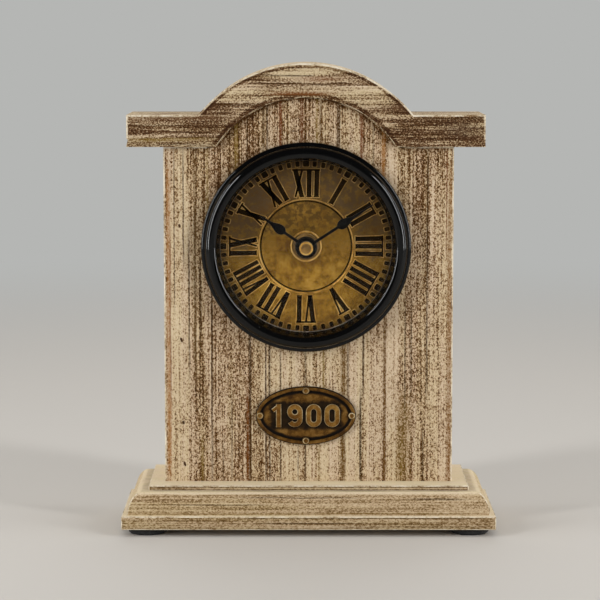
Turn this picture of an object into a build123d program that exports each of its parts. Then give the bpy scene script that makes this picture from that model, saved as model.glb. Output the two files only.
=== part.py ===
from build123d import *
import os
from math import atan2, cos, pi, sin, sqrt

# A table clock in a whitewashed wooden case with an arched crown.
# Millimetres, +Z up, the dial faces -Y, origin on the table under the middle of the plinth.

# Case: driving dimensions
plinth_width = 164.5
plinth_depth = 62.0
plinth_height = 17.6
foot_height = 3.0
foot_radius = 8.5
foot_inset = 11.0
case_width = 128.0
case_height = 149.3
case_set_back = 22.0          # plinth front to case front
side_thickness = 10.0
front_thickness = 10.0
back_thickness = 3.0
back_recess = 1.4             # back panel behind the rear edges of the case
crown_width = 157.6
crown_wing_height = 14.0
crown_overhang = 2.5          # crown proud of the case front
crown_rise = 22.6             # outer arch above the wings
crown_arch_half = 47.2        # half width where the outer arch meets the wings
panel_rise = 21.7             # inner arch above the side panels
panel_arch_half = 39.6
arch_shift = -1.2              # the crown and both arches sit a little left of the middle
arch_gap = 0.1                # glue line under the crown
crown_bevel = 1.0
glue_line = 0.1               # play of a hidden screw or dowel in its hole
overcut = 1.0                 # how far a cutting tool runs past the face it cuts

# Plinth moulding, bottom to top
fascia_height = 6.0
ledge_width = 2.4
ovolo_width = 6.2
ovolo_height = 9.6
quirk_width = 2.8

# Clock unit: driving dimensions
dial_height = 125.6           # dial centre above the table
dial_shift = -1.1              # dial centre beside the middle of the case
bezel_radius = 46.4
bezel_stand = 7.5             # bezel front to case front
cup_outer_radius = 42.6
cup_inner_radius = 41.1
cup_overhang = 1.6            # cup behind the front panel
lip_depth = 2.5               # bezel front to the lens
lip_radius = 39.4
sight_radius = 38.0           # visible edge of the dial
panel_hole_radius = 43.3
dial_recess = 11.8            # bezel front to dial
dial_thickness = 0.8
backing_thickness = 1.6
washer_thickness = 1.5
lens_thickness = 1.6
seat_play = 0.1               # play between the parts stacked in the cup

# Quartz movement: driving dimensions
movement_size = 56.0
movement_depth = 16.0
shell = 1.2
cover_thickness = 1.8
bushing_radius = 3.8
bushing_length = 7.5
hour_tube_radius = 2.5
arbor_front_radius = 1.6
arbor_rear_radius = 1.2
pin_radius = 0.4
stud_radius = 0.6
running_play = 0.05
battery_radius = 7.25
battery_length = 50.5
battery_bay_height = 15.2

# Gear teeth, as shares of the module and of the tooth pitch
tooth_tip = 0.8
tooth_root = 1.2
root_half = 0.275
pitch_half = 0.19
tip_half = 0.09

# Gear train: teeth and modules
cannon_teeth = 12
minute_teeth = 36
setting_teeth = 18
minute_pinion_teeth = 10
hour_teeth = 40
motion_module = 0.4
rotor_pinion_teeth = 8
fifth_teeth = 48
fifth_pinion_teeth = 8
fourth_teeth = 40
fourth_pinion_teeth = 8
third_teeth = 64
third_pinion_teeth = 8
centre_teeth = 60
rotor_module = 0.2
fifth_module = 0.32
centre_module = 0.22

# Hands
hour_hand_length = 24.7
minute_hand_length = 35.0
hour_hub_radius = 4.9
minute_hub_radius = 4.5
hand_thickness = 0.4
cap_radius = 3.0
cap_height = 3.9
cap_clearance = 0.8           # cap to the inside of the lens
hour_hand_lift = 6.2          # front of a hand to the dial
minute_hand_lift = 8.0
hour_hand_angle = -2 * pi * 304.8 / 360    # clockwise from twelve, as turned from +Z
minute_hand_angle = -2 * pi * 57 / 360

# Year plate
plate_width = 44.5
plate_height = 26.2
plate_centre = (-1.2, 50.4)
plate_thickness = 0.9
plate_rim_height = 0.8
plate_rim_width = 2.0

# Derived levels
plinth_top = foot_height + plinth_height
case_top = plinth_top + case_height
front_face = -plinth_depth / 2 + case_set_back
front_inside = front_face + front_thickness
back_face = plinth_depth / 2
panel_back = back_face - back_recess
panel_front = panel_back - back_thickness
crown_front = front_face - crown_overhang
crown_top = case_top + crown_wing_height
bezel_front = front_face - bezel_stand
dial_front = bezel_front + dial_recess
dial_back = dial_front + dial_thickness
backing_back = dial_back + backing_thickness
movement_front = backing_back + washer_thickness
movement_back = movement_front + movement_depth
cover_front = movement_back - cover_thickness
room_front = movement_front + shell
cup_back = front_inside + cup_overhang
lens_seat = bezel_front + lip_depth
side_middle = case_width / 2 - side_thickness / 2
frame_half = movement_size / 2 - shell
bay_top = -frame_half + battery_bay_height
screw_depths = (9.0, 22.0)    # y of the fixings along a side panel

# Levels of the gear train, counted from the inside of the movement's front wall
hour_wheel_span = (room_front + 0.4, room_front + 1.4)
minute_pinion_span = (room_front + 0.4, room_front + 1.7)
minute_wheel_span = (room_front + 1.7, room_front + 2.5)
cannon_span = (room_front + 1.6, room_front + 2.6)
plate_span = (room_front + 3.0, room_front + 3.8)
centre_wheel_span = (room_front + 4.4, room_front + 5.1)
third_pinion_span = (room_front + 4.2, room_front + 5.3)
arbor_end = room_front + 5.6
third_wheel_span = (room_front + 7.0, room_front + 7.6)
fourth_pinion_span = (room_front + 6.8, room_front + 7.8)
fourth_wheel_span = (room_front + 9.2, room_front + 9.8)
fifth_pinion_span = (room_front + 9.0, room_front + 10.0)
fifth_wheel_span = (room_front + 10.8, room_front + 11.4)
rotor_pinion_span = (room_front + 10.6, room_front + 11.6)
magnet_span = (room_front + 6.2, room_front + 8.4)
stator_span = (room_front + 7.0, room_front + 7.6)
board_span = (room_front + 7.0, room_front + 7.8)
pivot_depth = 0.6

# Hands and their levels along the shaft
hour_hand_span = (dial_front - hour_hand_lift, dial_front - hour_hand_lift + hand_thickness)
minute_hand_span = (dial_front - minute_hand_lift, dial_front - minute_hand_lift + hand_thickness)
cap_front = minute_hand_span[0] - cap_height
lens_apex = cap_front - cap_clearance - lens_thickness

# Axes of the gear train in X and Z, from the dial centre
motion_distance = motion_module * (cannon_teeth + minute_teeth) / 2
hour_module = 2 * motion_distance / (minute_pinion_teeth + hour_teeth)
setting_distance = motion_module * (minute_teeth + setting_teeth) / 2
third_distance = centre_module * (centre_teeth + third_pinion_teeth) / 2
third_module = 2 * third_distance / (third_teeth + fourth_pinion_teeth)
fifth_distance = fifth_module * (fourth_teeth + fifth_pinion_teeth) / 2
rotor_distance = rotor_module * (fifth_teeth + rotor_pinion_teeth) / 2
rotor_direction = 5 * pi / 6
centre_axis = (0.0, 0.0)
minute_axis = (0.0, motion_distance)
setting_axis = (setting_distance, motion_distance)
third_axis = (third_distance, 0.0)
fifth_axis = (fifth_distance * cos(rotor_direction), fifth_distance * sin(rotor_direction))
rotor_axis = (
    (fifth_distance + rotor_distance) * cos(rotor_direction),
    (fifth_distance + rotor_distance) * sin(rotor_direction),
)


def slab(outline, front, back):
    """A flat outline in X and Z made solid from y = front to y = back."""
    return Pos(0, back, 0) * extrude(Plane.XZ * outline, amount=back - front)


def rod(radius, front, back, at=centre_axis):
    """A round bar along Y; at is its axis in X and Z from the dial centre."""
    return slab(Pos(dial_shift + at[0], dial_height + at[1]) * Circle(radius), front, back)


def tube(outer, inner, front, back, at=centre_axis):
    """A round sleeve along Y."""
    return rod(outer, front, back, at) - rod(inner, front - 1, back + 1, at)


def block(low, high):
    """A box between two corners, each (x, y, z)."""
    size = [high[i] - low[i] for i in range(3)]
    middle = [(high[i] + low[i]) / 2 for i in range(3)]
    return Pos(*middle) * Box(*size)


def movement_block(low, high):
    """A box between two corners whose x and z count from the dial centre."""
    return block(
        (dial_shift + low[0], low[1], dial_height + low[2]),
        (dial_shift + high[0], high[1], dial_height + high[2]),
    )


def turned(edges):
    """A ring turned about the dial axis from edges in (radius, y)."""
    return Pos(dial_shift, 0, dial_height) * revolve(make_face(edges), Axis.Y)


def chain(*points):
    """Straight edges from point to point."""
    return [Line(points[i], points[i + 1]) for i in range(len(points) - 1)]


def one_solid(shape):
    """The single solid of a fused shape."""
    return shape.solids()[0]


def save(shape, node):
    export_step(shape, "parts/" + node + ".step")


# Gears

def gear_outline(teeth, module, phase):
    """Toothed outline about the origin, a tooth centred at the angle phase."""
    pitch_radius = teeth * module / 2
    pitch_angle = 2 * pi / teeth
    flank = (
        (pitch_radius - tooth_root * module, -root_half),
        (pitch_radius, -pitch_half),
        (pitch_radius + tooth_tip * module, -tip_half),
        (pitch_radius + tooth_tip * module, tip_half),
        (pitch_radius, pitch_half),
        (pitch_radius - tooth_root * module, root_half),
    )
    points = []
    for tooth in range(teeth):
        for radius, share in flank:
            angle = phase + (tooth + share) * pitch_angle
            points.append((radius * cos(angle), radius * sin(angle)))
    return make_face(Polyline(*points, close=True))


def gear(teeth, module, phase, span, at):
    outline = Pos(dial_shift + at[0], dial_height + at[1]) * gear_outline(teeth, module, phase)
    return slab(outline, span[0], span[1])


def mate_phase(teeth, phase, mate_teeth, direction):
    """Phase of a mating gear that lies in the given direction, its gaps on this gear's teeth."""
    lag = (direction - phase) % (2 * pi / teeth)
    return direction + pi + pi / mate_teeth + lag * teeth / mate_teeth


def towards(start, end):
    return atan2(end[1] - start[1], end[0] - start[0])


minute_phase = 0.0
cannon_phase = mate_phase(minute_teeth, minute_phase, cannon_teeth, towards(minute_axis, centre_axis))
setting_phase = mate_phase(minute_teeth, minute_phase, setting_teeth, towards(minute_axis, setting_axis))
hour_phase = mate_phase(minute_pinion_teeth, 0.0, hour_teeth, towards(minute_axis, centre_axis))
rotor_phase = 0.0
fifth_phase = mate_phase(rotor_pinion_teeth, rotor_phase, fifth_teeth, towards(rotor_axis, fifth_axis))
fourth_phase = mate_phase(fifth_pinion_teeth, 0.0, fourth_teeth, towards(fifth_axis, centre_axis))
third_phase = mate_phase(fourth_pinion_teeth, 0.0, third_teeth, towards(centre_axis, third_axis))
centre_phase = mate_phase(third_pinion_teeth, 0.0, centre_teeth, towards(third_axis, centre_axis))


# Case

def moulded_face(outer, inner):
    """Section of the plinth from the coordinate inner out to its moulded edge."""
    ledge = outer - ledge_width
    crown_of_ovolo = ledge - ovolo_width
    top = crown_of_ovolo - quirk_width
    fascia_top = foot_height + fascia_height
    ovolo_top = fascia_top + ovolo_height
    edges = chain((inner, foot_height), (outer, foot_height), (outer, fascia_top), (ledge, fascia_top))
    ovolo_centre = (crown_of_ovolo, fascia_top)
    edges += [EllipticalCenterArc(ovolo_centre, ovolo_width, ovolo_height, 0, arc_size=90)]
    edges += chain(
        (crown_of_ovolo, ovolo_top),
        (top, ovolo_top),
        (top, plinth_top),
        (inner, plinth_top),
        (inner, foot_height),
    )
    return make_face(edges)


def fixing_places():
    """The x and y of the four upright fixings in the side panels."""
    return [(side * side_middle, y) for side in (-1, 1) for y in screw_depths]


plinth_screw_length = 34.0
plinth_screw_radius = 1.6
plinth_screw_head = 3.4
plinth_screw_cone = 2.0
drive_reach = 4.4
drive_width = 0.8
drive_depth = 1.6


def plinth_screw(play):
    """A countersunk wood screw that points up from the underside of the plinth."""
    cone = Cone(plinth_screw_head + play, plinth_screw_radius + play, plinth_screw_cone)
    shank = Cylinder(plinth_screw_radius + play, plinth_screw_length + play)
    return Pos(0, 0, plinth_screw_cone / 2) * cone + Pos(0, 0, (plinth_screw_length + play) / 2) * shank


def plinth_screws():
    cross = Box(drive_reach, drive_width, drive_depth) + Box(drive_width, drive_reach, drive_depth)
    screw = plinth_screw(0) - cross
    return Compound([Pos(x, y, foot_height) * one_solid(screw) for x, y in fixing_places()])


def plinth():
    across = moulded_face(plinth_width / 2, 0)
    across += mirror(across, Plane.YZ)
    side_shape = extrude(Plane.XZ * across, amount=plinth_depth, both=True)
    front_plane = Plane((0, 0, 0), x_dir=(0, -1, 0), z_dir=(-1, 0, 0))
    along = moulded_face(plinth_depth / 2, -plinth_depth / 2)
    front_shape = extrude(front_plane * along, amount=plinth_width, both=True)
    board = side_shape & front_shape
    for x, y in fixing_places():
        board -= Pos(x, y, foot_height) * plinth_screw(glue_line)
    return one_solid(board)


foot_chamfer = 0.6


def foot(side, end):
    """A rubber pad under one corner, its lower rim chamfered."""
    pad = Cylinder(foot_radius, foot_height)
    pad = chamfer(pad.edges().group_by(Axis.Z)[0], foot_chamfer)
    x = side * (plinth_width / 2 - foot_inset)
    y = end * (plinth_depth / 2 - foot_inset)
    return Pos(x, y, foot_height / 2) * pad


def arch_radius(half_chord, rise):
    return (half_chord ** 2 + rise ** 2) / (2 * rise)


def arch(half_chord, rise, base, shrink=0.0):
    """A round-topped cap over the level base, as a flat outline."""
    radius = arch_radius(half_chord, rise)
    disc = Pos(0, base + rise - radius) * Circle(radius - shrink)
    above = Pos(0, base + rise) * Rectangle(4 * half_chord, 2 * rise)
    return disc & above


def upright(half_width, low, high):
    """A rectangle in X and Z."""
    return Pos(0, (low + high) / 2) * Rectangle(2 * half_width, high - low)


def front_panel():
    outline = upright(case_width / 2, plinth_top, case_top)
    outline += Pos(arch_shift, 0) * arch(panel_arch_half, panel_rise, case_top, arch_gap)
    outline -= Pos(dial_shift, dial_height) * Circle(panel_hole_radius)
    board = slab(outline, front_face, front_inside)
    for x, z in clip_screw_places():
        hole_front = front_inside - clip_screw_length
        board -= rod(clip_screw_radius + glue_line, hole_front, front_inside + overcut, (x, z))
    for x, z in pin_places():
        hole = Pos(x, z) * Circle(pin_shank_radius + glue_line)
        board -= slab(hole, front_face - overcut, front_face + pin_length)
    return one_solid(board)


rabbet_width = 6.0
back_screw_radius = 1.2
back_screw_length = 13.0
back_screw_inset = 3.0        # from the edge of the back panel
back_screw_levels = (50.0, 100.0, 150.0)


def side_panel(side):
    inner = case_width / 2 - side_thickness
    board = block((inner, front_inside, plinth_top), (case_width / 2, back_face, case_top))
    board -= block(
        (inner - overcut, panel_front, plinth_top - overcut),
        (inner + rabbet_width, back_face + overcut, case_top + overcut),
    )
    for y in screw_depths:
        board -= Pos(side_middle, y, foot_height) * plinth_screw(glue_line)
        board -= Pos(side_middle, y, case_top) * dowel(glue_line)
    for z in back_screw_levels:
        hole = Pos(back_screw_x(), z) * Circle(back_screw_radius + glue_line)
        board -= slab(hole, panel_back - back_screw_length - glue_line, panel_back)
    board = one_solid(board)
    return board if side > 0 else mirror(board, Plane.YZ)


dowel_radius = 3.0
dowel_length = 22.0
dowel_chamfer = 0.6


def dowel(play):
    return Cylinder(dowel_radius + play, dowel_length + 2 * play)


def crown_dowels():
    peg = chamfer(dowel(0).edges(), dowel_chamfer)
    return Compound([Pos(x, y, case_top) * one_solid(peg) for x, y in fixing_places()])


def crown():
    outline = upright(crown_width / 2, case_top, crown_top)
    outline += arch(crown_arch_half, crown_rise, crown_top)
    outline -= arch(panel_arch_half, panel_rise, case_top)
    board = one_solid(slab(Pos(arch_shift, 0) * outline, crown_front, back_face))
    front_edges = board.edges().filter_by_position(Axis.Y, crown_front, crown_front)
    board = chamfer(front_edges, crown_bevel)
    for x, y in fixing_places():
        board -= Pos(x, y, case_top) * dowel(glue_line)
    return one_solid(board)


panel_play = 0.2              # round the back panel
access_width = 72.0
access_height = 70.0
access_corner = 6.0
seam_half = 2.0               # joins the arch to the straight part of the panel


def back_panel_half():
    return case_width / 2 - side_thickness + rabbet_width - panel_play


def back_screw_x():
    return back_panel_half() - back_screw_inset


def back_screw_places():
    return [(side * back_screw_x(), z) for side in (-1, 1) for z in back_screw_levels]


def back_panel():
    """A thin board in the rabbets, with an opening to reach the battery and the setting knob."""
    outline = upright(back_panel_half(), plinth_top + panel_play, case_top - panel_play)
    cap = arch(panel_arch_half, panel_rise, case_top, panel_play)
    cap += upright(panel_arch_half - seam_half, case_top - seam_half, case_top + seam_half / 2)
    outline += Pos(arch_shift, 0) * cap
    outline -= Pos(dial_shift, dial_height) * RectangleRounded(access_width, access_height, access_corner)
    board = slab(outline, panel_front, panel_back)
    for x, z in back_screw_places():
        hole = Pos(x, z) * Circle(back_screw_radius + glue_line)
        board -= slab(hole, panel_front - overcut, panel_back + overcut)
    return one_solid(board)


def pan_screw(head_radius, head_height, shank_radius, length):
    """A pan-head screw whose head sits on z = 0 and whose shank points up +Z."""
    head = Pos(0, 0, -head_height / 2) * Cylinder(head_radius, head_height)
    head = chamfer(head.edges().group_by(Axis.Z)[0], head_height / 3)
    reach = 1.3 * head_radius
    width = 0.22 * head_radius
    depth = 1.2 * head_height
    cross = Box(reach, width, depth) + Box(width, reach, depth)
    shank = Pos(0, 0, length / 2) * Cylinder(shank_radius, length)
    return one_solid(head + shank - Pos(0, 0, -head_height) * cross)


back_head_radius = 2.4
back_head_height = 1.2


def back_panel_screws():
    screw = pan_screw(back_head_radius, back_head_height, back_screw_radius, back_screw_length)
    screw = Rot(90, 0, 0) * screw
    return Compound([Pos(x, panel_back, z) * screw for x, z in back_screw_places()])


# Year plate

pin_head_radius = 1.65
pin_shank_radius = 0.5
pin_head_height = 1.1
pin_length = 6.0
pin_inset = 1.8               # pin centre from the edge of the plate


def pin_places():
    """The x and z of the four pins, top, bottom, left and right."""
    x, z = plate_centre
    up = plate_height / 2 - pin_inset
    out = plate_width / 2 - pin_inset
    return [(x, z + up), (x, z - up), (x - out, z), (x + out, z)]


def year_plate():
    """An oval plate with a raised rim; its number is left to the finish."""
    outer = Ellipse(plate_width / 2, plate_height / 2)
    inner = Ellipse(plate_width / 2 - plate_rim_width, plate_height / 2 - plate_rim_width)
    plate_front = front_face - plate_thickness
    rim_front = plate_front - plate_rim_height
    plate = slab(Pos(*plate_centre) * outer, plate_front, front_face)
    plate += slab(Pos(*plate_centre) * (outer - inner), rim_front, front_face)
    for x, z in pin_places():
        seat = Pos(x, z) * Circle(pin_head_radius + glue_line)
        hole = Pos(x, z) * Circle(pin_shank_radius + glue_line)
        plate -= slab(seat, rim_front - overcut, plate_front)
        plate -= slab(hole, rim_front - overcut, front_face + overcut)
    return one_solid(plate)


def plate_pins():
    seat = front_face - plate_thickness
    pins = []
    for x, z in pin_places():
        head = slab(Pos(x, z) * Circle(pin_head_radius), seat - pin_head_height, seat)
        shank = slab(Pos(x, z) * Circle(pin_shank_radius), seat, front_face + pin_length)
        pins.append(one_solid(head + shank))
    return Compound(pins)


# Clock unit

bead_step = 3.9               # bezel front to the step between its two beads
bead_round = 1.1              # rounding of the outer bead
bead_ledge = 0.4
crest_radius = 41.7           # where the inner bead stands highest
lip_thickness = 1.0


def bezel():
    """A ring with two stepped beads, a lip over the lens and a cup behind."""
    step = bezel_front + bead_step
    bead = bezel_radius - bead_round
    ledge = bead - bead_ledge
    lip_front = lens_seat - lip_thickness
    edges = chain(
        (cup_inner_radius, cup_back),
        (cup_outer_radius, cup_back),
        (cup_outer_radius, front_face),
        (bezel_radius, front_face),
        (bezel_radius, step + bead_round),
    )
    edges += [RadiusArc((bezel_radius, step + bead_round), (bead, step), -bead_round)]
    edges += chain((bead, step), (ledge, step))
    edges += [EllipticalCenterArc((crest_radius, step), ledge - crest_radius, bead_step, 270, arc_size=90)]
    edges += [EllipticalCenterArc(
        (crest_radius, lip_front), crest_radius - lip_radius, lip_front - bezel_front, 180, arc_size=90,
    )]
    edges += chain(
        (lip_radius, lip_front),
        (lip_radius, lens_seat),
        (cup_inner_radius, lens_seat),
        (cup_inner_radius, cup_back),
    )
    return one_solid(turned(edges))


lip_play = 0.3


def lens():
    """A domed glass with a flat edge that sits behind the lip."""
    dome_edge = lip_radius - lip_play
    rim = cup_inner_radius - seat_play
    back = lens_seat + lens_thickness
    dome_radius = arch_radius(dome_edge, lens_seat - lens_apex)
    bulge = dome_edge / 2
    outer_middle = lens_apex + dome_radius - sqrt(dome_radius ** 2 - bulge ** 2)
    edges = [ThreePointArc((0, lens_apex), (bulge, outer_middle), (dome_edge, lens_seat))]
    edges += chain((dome_edge, lens_seat), (rim, lens_seat), (rim, back), (dome_edge, back))
    edges += [ThreePointArc(
        (dome_edge, back),
        (bulge, outer_middle + lens_thickness),
        (0, lens_apex + lens_thickness),
    )]
    edges += chain((0, lens_apex + lens_thickness), (0, lens_apex))
    return one_solid(turned(edges))


def spacer_ring():
    """A cone that runs from the lens down to the dial."""
    rim = cup_inner_radius - seat_play
    front = lens_seat + lens_thickness
    return one_solid(turned(chain(
        (lip_radius, front),
        (rim, front),
        (rim, dial_front),
        (sight_radius, dial_front),
        (lip_radius, front),
    )))


groove_radius = 20.45
groove_width = 0.7
groove_depth = 0.2


def dial():
    """A thin plate with a round groove inside the numerals."""
    plate = tube(cup_inner_radius - seat_play, bushing_radius + seat_play, dial_front, dial_back)
    groove_back = dial_front + groove_depth
    ring = tube(groove_radius, groove_radius - groove_width, dial_front - overcut, groove_back)
    return one_solid(plate - ring)


tray_wall = 1.2


def dial_backing():
    """A tray behind the dial; its rim reaches back to the clips."""
    rim = cup_inner_radius - seat_play
    tray = tube(rim, bushing_radius + seat_play, dial_back, backing_back)
    return one_solid(tray + tube(rim, rim - tray_wall, dial_back, cup_back))


cushion_radius = 12.0


def cushion_washer():
    return one_solid(tube(cushion_radius, bushing_radius + seat_play, backing_back, movement_front))


dial_washer_radius = 6.9
dial_washer_thickness = 0.6
nut_radius = 5.6
nut_thickness = 2.3
notch_half = 0.6
notch_depth = 1.3


def dial_washer():
    front = dial_front - dial_washer_thickness
    return one_solid(tube(dial_washer_radius, bushing_radius + seat_play, front, dial_front))


def mounting_nut():
    """A round nut with four notches in its front for a spanner."""
    back = dial_front - dial_washer_thickness
    front = back - nut_thickness
    nut = tube(nut_radius, bushing_radius, front, back)
    for x, z in ((nut_radius, 0), (-nut_radius, 0), (0, nut_radius), (0, -nut_radius)):
        low = (x - notch_half, front - overcut, z - notch_half)
        high = (x + notch_half, front + notch_depth, z + notch_half)
        nut -= movement_block(low, high)
    return one_solid(nut)


clip_thickness = 0.8
clip_half_width = 4.0
clip_foot_end = 54.0
clip_tip = 39.9
clip_play = 1.0               # clip riser to the cup wall
clip_screw_radius = 1.2
clip_screw_length = 7.0
clip_head_radius = 2.2
clip_head_height = 1.1
clip_angles = (90, 210, 330)
clip_screw_reach = 49.5


def clip_screw_places():
    """The x and z of the clip screws from the dial centre."""
    return [
        (clip_screw_reach * cos(angle * pi / 180), clip_screw_reach * sin(angle * pi / 180))
        for angle in clip_angles
    ]


def bezel_clips():
    """Three bent clips that hold the cup to the back of the front panel."""
    wall = cup_outer_radius + clip_play
    low, high = -clip_half_width, clip_half_width
    top = cup_back + clip_thickness
    clip = block((wall, front_inside, low), (clip_foot_end, front_inside + clip_thickness, high))
    clip += block((wall, front_inside, low), (wall + clip_thickness, top, high))
    clip += block((clip_tip, cup_back, low), (wall + clip_thickness, top, high))
    drill = Cylinder(clip_screw_radius + glue_line, 4 * clip_thickness)
    clip -= Pos(clip_screw_reach, front_inside, 0) * Rot(90, 0, 0) * drill
    clip = one_solid(clip)
    return Compound([Pos(dial_shift, 0, dial_height) * Rot(0, -angle, 0) * clip for angle in clip_angles])


def clip_screws():
    screw = pan_screw(clip_head_radius, clip_head_height, clip_screw_radius, clip_screw_length)
    screw = Rot(90, 0, 0) * screw
    head_seat = front_inside + clip_thickness
    places = [(dial_shift + x, dial_height + z) for x, z in clip_screw_places()]
    return Compound([Pos(x, head_seat, z) * screw for x, z in places])


# Quartz movement

corner_posts = ((-24.6, -8.2), (24.6, -8.2), (-24.6, 24.6), (24.6, 24.6))
corner_post_radius = 1.6
thumb_notch_half = 9.0
thumb_notch_depth = 7.0


def bearings(axes, radius, front, back):
    """Bearing holes for arbors of one radius."""
    return Part() + [rod(radius + running_play, front, back, axis) for axis in axes]


def movement_housing():
    """The front shell: walls, a battery bay below, the threaded bushing and posts for the plate."""
    half = movement_size / 2
    case = movement_block((-half, movement_front, -half), (half, cover_front, half))
    open_back = cover_front + overcut
    case -= movement_block((-frame_half, room_front, bay_top + shell), (frame_half, open_back, frame_half))
    case -= movement_block((-frame_half, room_front, -frame_half), (frame_half, open_back, bay_top))
    case -= movement_block(
        (-thumb_notch_half, cover_front - thumb_notch_depth, -half - overcut),
        (thumb_notch_half, open_back, -frame_half),
    )
    bushing_front = movement_front - bushing_length
    case += rod(bushing_radius, bushing_front, movement_front)
    case -= rod(hour_tube_radius + running_play, bushing_front - overcut, room_front + overcut)
    for post in corner_posts:
        case += rod(corner_post_radius, room_front, plate_span[0], post)
    socket_front = room_front - pivot_depth
    case -= bearings((minute_axis, setting_axis), stud_radius, socket_front, room_front + overcut)
    return one_solid(case)


stem_radius = 1.5
end_play = 0.2                # at each end of an arbor
grip_left = -20.0             # ribbed grip on the cover
grip_right = -6.0
grip_low = 16.0
grip_pitch = 2.0
grip_groove = 0.8
grip_depth = 0.5
grip_count = 5


def movement_cover():
    """The rear plate over the train, with a bearing for each arbor and a hole for the setting stem."""
    half = movement_size / 2
    plate = movement_block((-half, cover_front, bay_top), (half, movement_back, half))
    train = (centre_axis, third_axis, fifth_axis, rotor_axis)
    plate -= bearings(train, pin_radius, cover_front - overcut, cover_front + pivot_depth + end_play)
    plate -= rod(stem_radius + running_play, cover_front - overcut, movement_back + overcut, setting_axis)
    for groove in range(grip_count):
        z = grip_low + grip_pitch * groove
        low = (grip_left, movement_back - grip_depth, z)
        plate -= movement_block(low, (grip_right, movement_back + overcut, z + grip_groove))
    return one_solid(plate)


stator_posts = ((-22.0, 14.0), (-4.0, 13.0))
board_posts = ((4.0, 24.0), (23.6, 18.0))
post_radius = 1.2
plate_edge = 0.3              # play between the middle plate and the walls


def middle_plate():
    """The plate between the motion work and the going train, with posts for stator and board."""
    front, back = plate_span
    plate = movement_block(
        (plate_edge - frame_half, front, bay_top + shell + plate_edge),
        (frame_half - plate_edge, back, frame_half - plate_edge),
    )
    plate -= bearings((centre_axis,), arbor_rear_radius, front - overcut, back + overcut)
    plate -= bearings((minute_axis,), stud_radius, front - overcut, back + overcut)
    plate -= bearings((setting_axis,), stem_radius, front - overcut, back + overcut)
    plate -= bearings((third_axis, fifth_axis, rotor_axis), pin_radius, front - overcut, back + overcut)
    for post in stator_posts:
        plate += rod(post_radius, back, stator_span[0], post)
    for post in board_posts:
        plate += rod(post_radius, back, board_span[0], post)
    return one_solid(plate)


def hour_wheel():
    """The hour wheel and the long tube that carries the hour hand."""
    wheel = gear(hour_teeth, hour_module, hour_phase, hour_wheel_span, centre_axis)
    tube_front = hour_hand_span[0] - end_play
    wheel += rod(hour_tube_radius, tube_front, hour_wheel_span[0])
    bore = arbor_front_radius + running_play
    return one_solid(wheel - rod(bore, tube_front - overcut, hour_wheel_span[1] + overcut))


def minute_wheel():
    """The motion-work wheel between the cannon pinion and the hour wheel."""
    wheel = gear(minute_teeth, motion_module, minute_phase, minute_wheel_span, minute_axis)
    wheel += gear(minute_pinion_teeth, hour_module, 0.0, minute_pinion_span, minute_axis)
    stud_front = room_front - pivot_depth + end_play
    return one_solid(wheel + rod(stud_radius, stud_front, plate_span[1] - end_play, minute_axis))


tip_radius = 1.1
tip_start = minute_hand_span[1]
pivot_reach = 1.0             # the seconds arbor enters the minute arbor this far
cap_wall = 0.8


def minute_arbor():
    """The long arbor with its cannon pinion; the front tip is threaded for the cap."""
    arbor = rod(arbor_front_radius, tip_start, cannon_span[1])
    arbor += rod(tip_radius, cap_front + cap_wall, tip_start)
    arbor += gear(cannon_teeth, motion_module, cannon_phase, cannon_span, centre_axis)
    arbor += rod(arbor_rear_radius, cannon_span[1], arbor_end)
    socket = rod(pin_radius + running_play, arbor_end - pivot_reach - end_play, arbor_end + overcut)
    return one_solid(arbor - socket)


def centre_wheel():
    """The wheel that slips on the rear of the minute arbor when the hands are set."""
    wheel = gear(centre_teeth, centre_module, centre_phase, centre_wheel_span, centre_axis)
    return one_solid(wheel - rod(arbor_rear_radius + running_play, room_front, cover_front))


def train_arbor(axis):
    return rod(pin_radius, plate_span[0] + end_play, cover_front + pivot_depth, axis)


def third_wheel():
    wheel = gear(third_teeth, third_module, third_phase, third_wheel_span, third_axis)
    wheel += gear(third_pinion_teeth, centre_module, 0.0, third_pinion_span, third_axis)
    return one_solid(wheel + train_arbor(third_axis))


def fourth_wheel():
    """The seconds wheel; its front pivot runs in the end of the minute arbor."""
    wheel = gear(fourth_teeth, fifth_module, fourth_phase, fourth_wheel_span, centre_axis)
    wheel += gear(fourth_pinion_teeth, third_module, 0.0, fourth_pinion_span, centre_axis)
    return one_solid(wheel + rod(pin_radius, arbor_end - pivot_reach, cover_front + pivot_depth))


def fifth_wheel():
    wheel = gear(fifth_teeth, rotor_module, fifth_phase, fifth_wheel_span, fifth_axis)
    wheel += gear(fifth_pinion_teeth, fifth_module, 0.0, fifth_pinion_span, fifth_axis)
    return one_solid(wheel + train_arbor(fifth_axis))


magnet_radius = 3.0
magnet_gap = 0.35
stator_ring = 4.9
arm_top = 24.0
arm_width = 4.0
left_arm = -24.0
right_arm = -6.0
yoke_half = 2.5
yoke_low = 2.0                # right-hand yoke above the rotor axis
yoke_high = 5.5


def rotor():
    """The round magnet of the stepping motor with its pinion."""
    spin = rod(magnet_radius, magnet_span[0], magnet_span[1], rotor_axis)
    spin += gear(rotor_pinion_teeth, rotor_module, rotor_phase, rotor_pinion_span, rotor_axis)
    return one_solid(spin + train_arbor(rotor_axis))


def stator():
    """Two soft-iron arms joined round the rotor."""
    x, z = rotor_axis
    front, back = stator_span
    plate = rod(stator_ring, front, back, rotor_axis)
    plate += movement_block((left_arm, front, z - yoke_half), (x, back, z + yoke_half))
    plate += movement_block((left_arm, front, z - yoke_half), (left_arm + arm_width, back, arm_top))
    plate += movement_block((x, front, z + yoke_low), (right_arm + arm_width, back, z + yoke_high))
    plate += movement_block((right_arm, front, z + yoke_low), (right_arm + arm_width, back, arm_top))
    return one_solid(plate - rod(magnet_radius + magnet_gap, front - overcut, back + overcut, rotor_axis))


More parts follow.
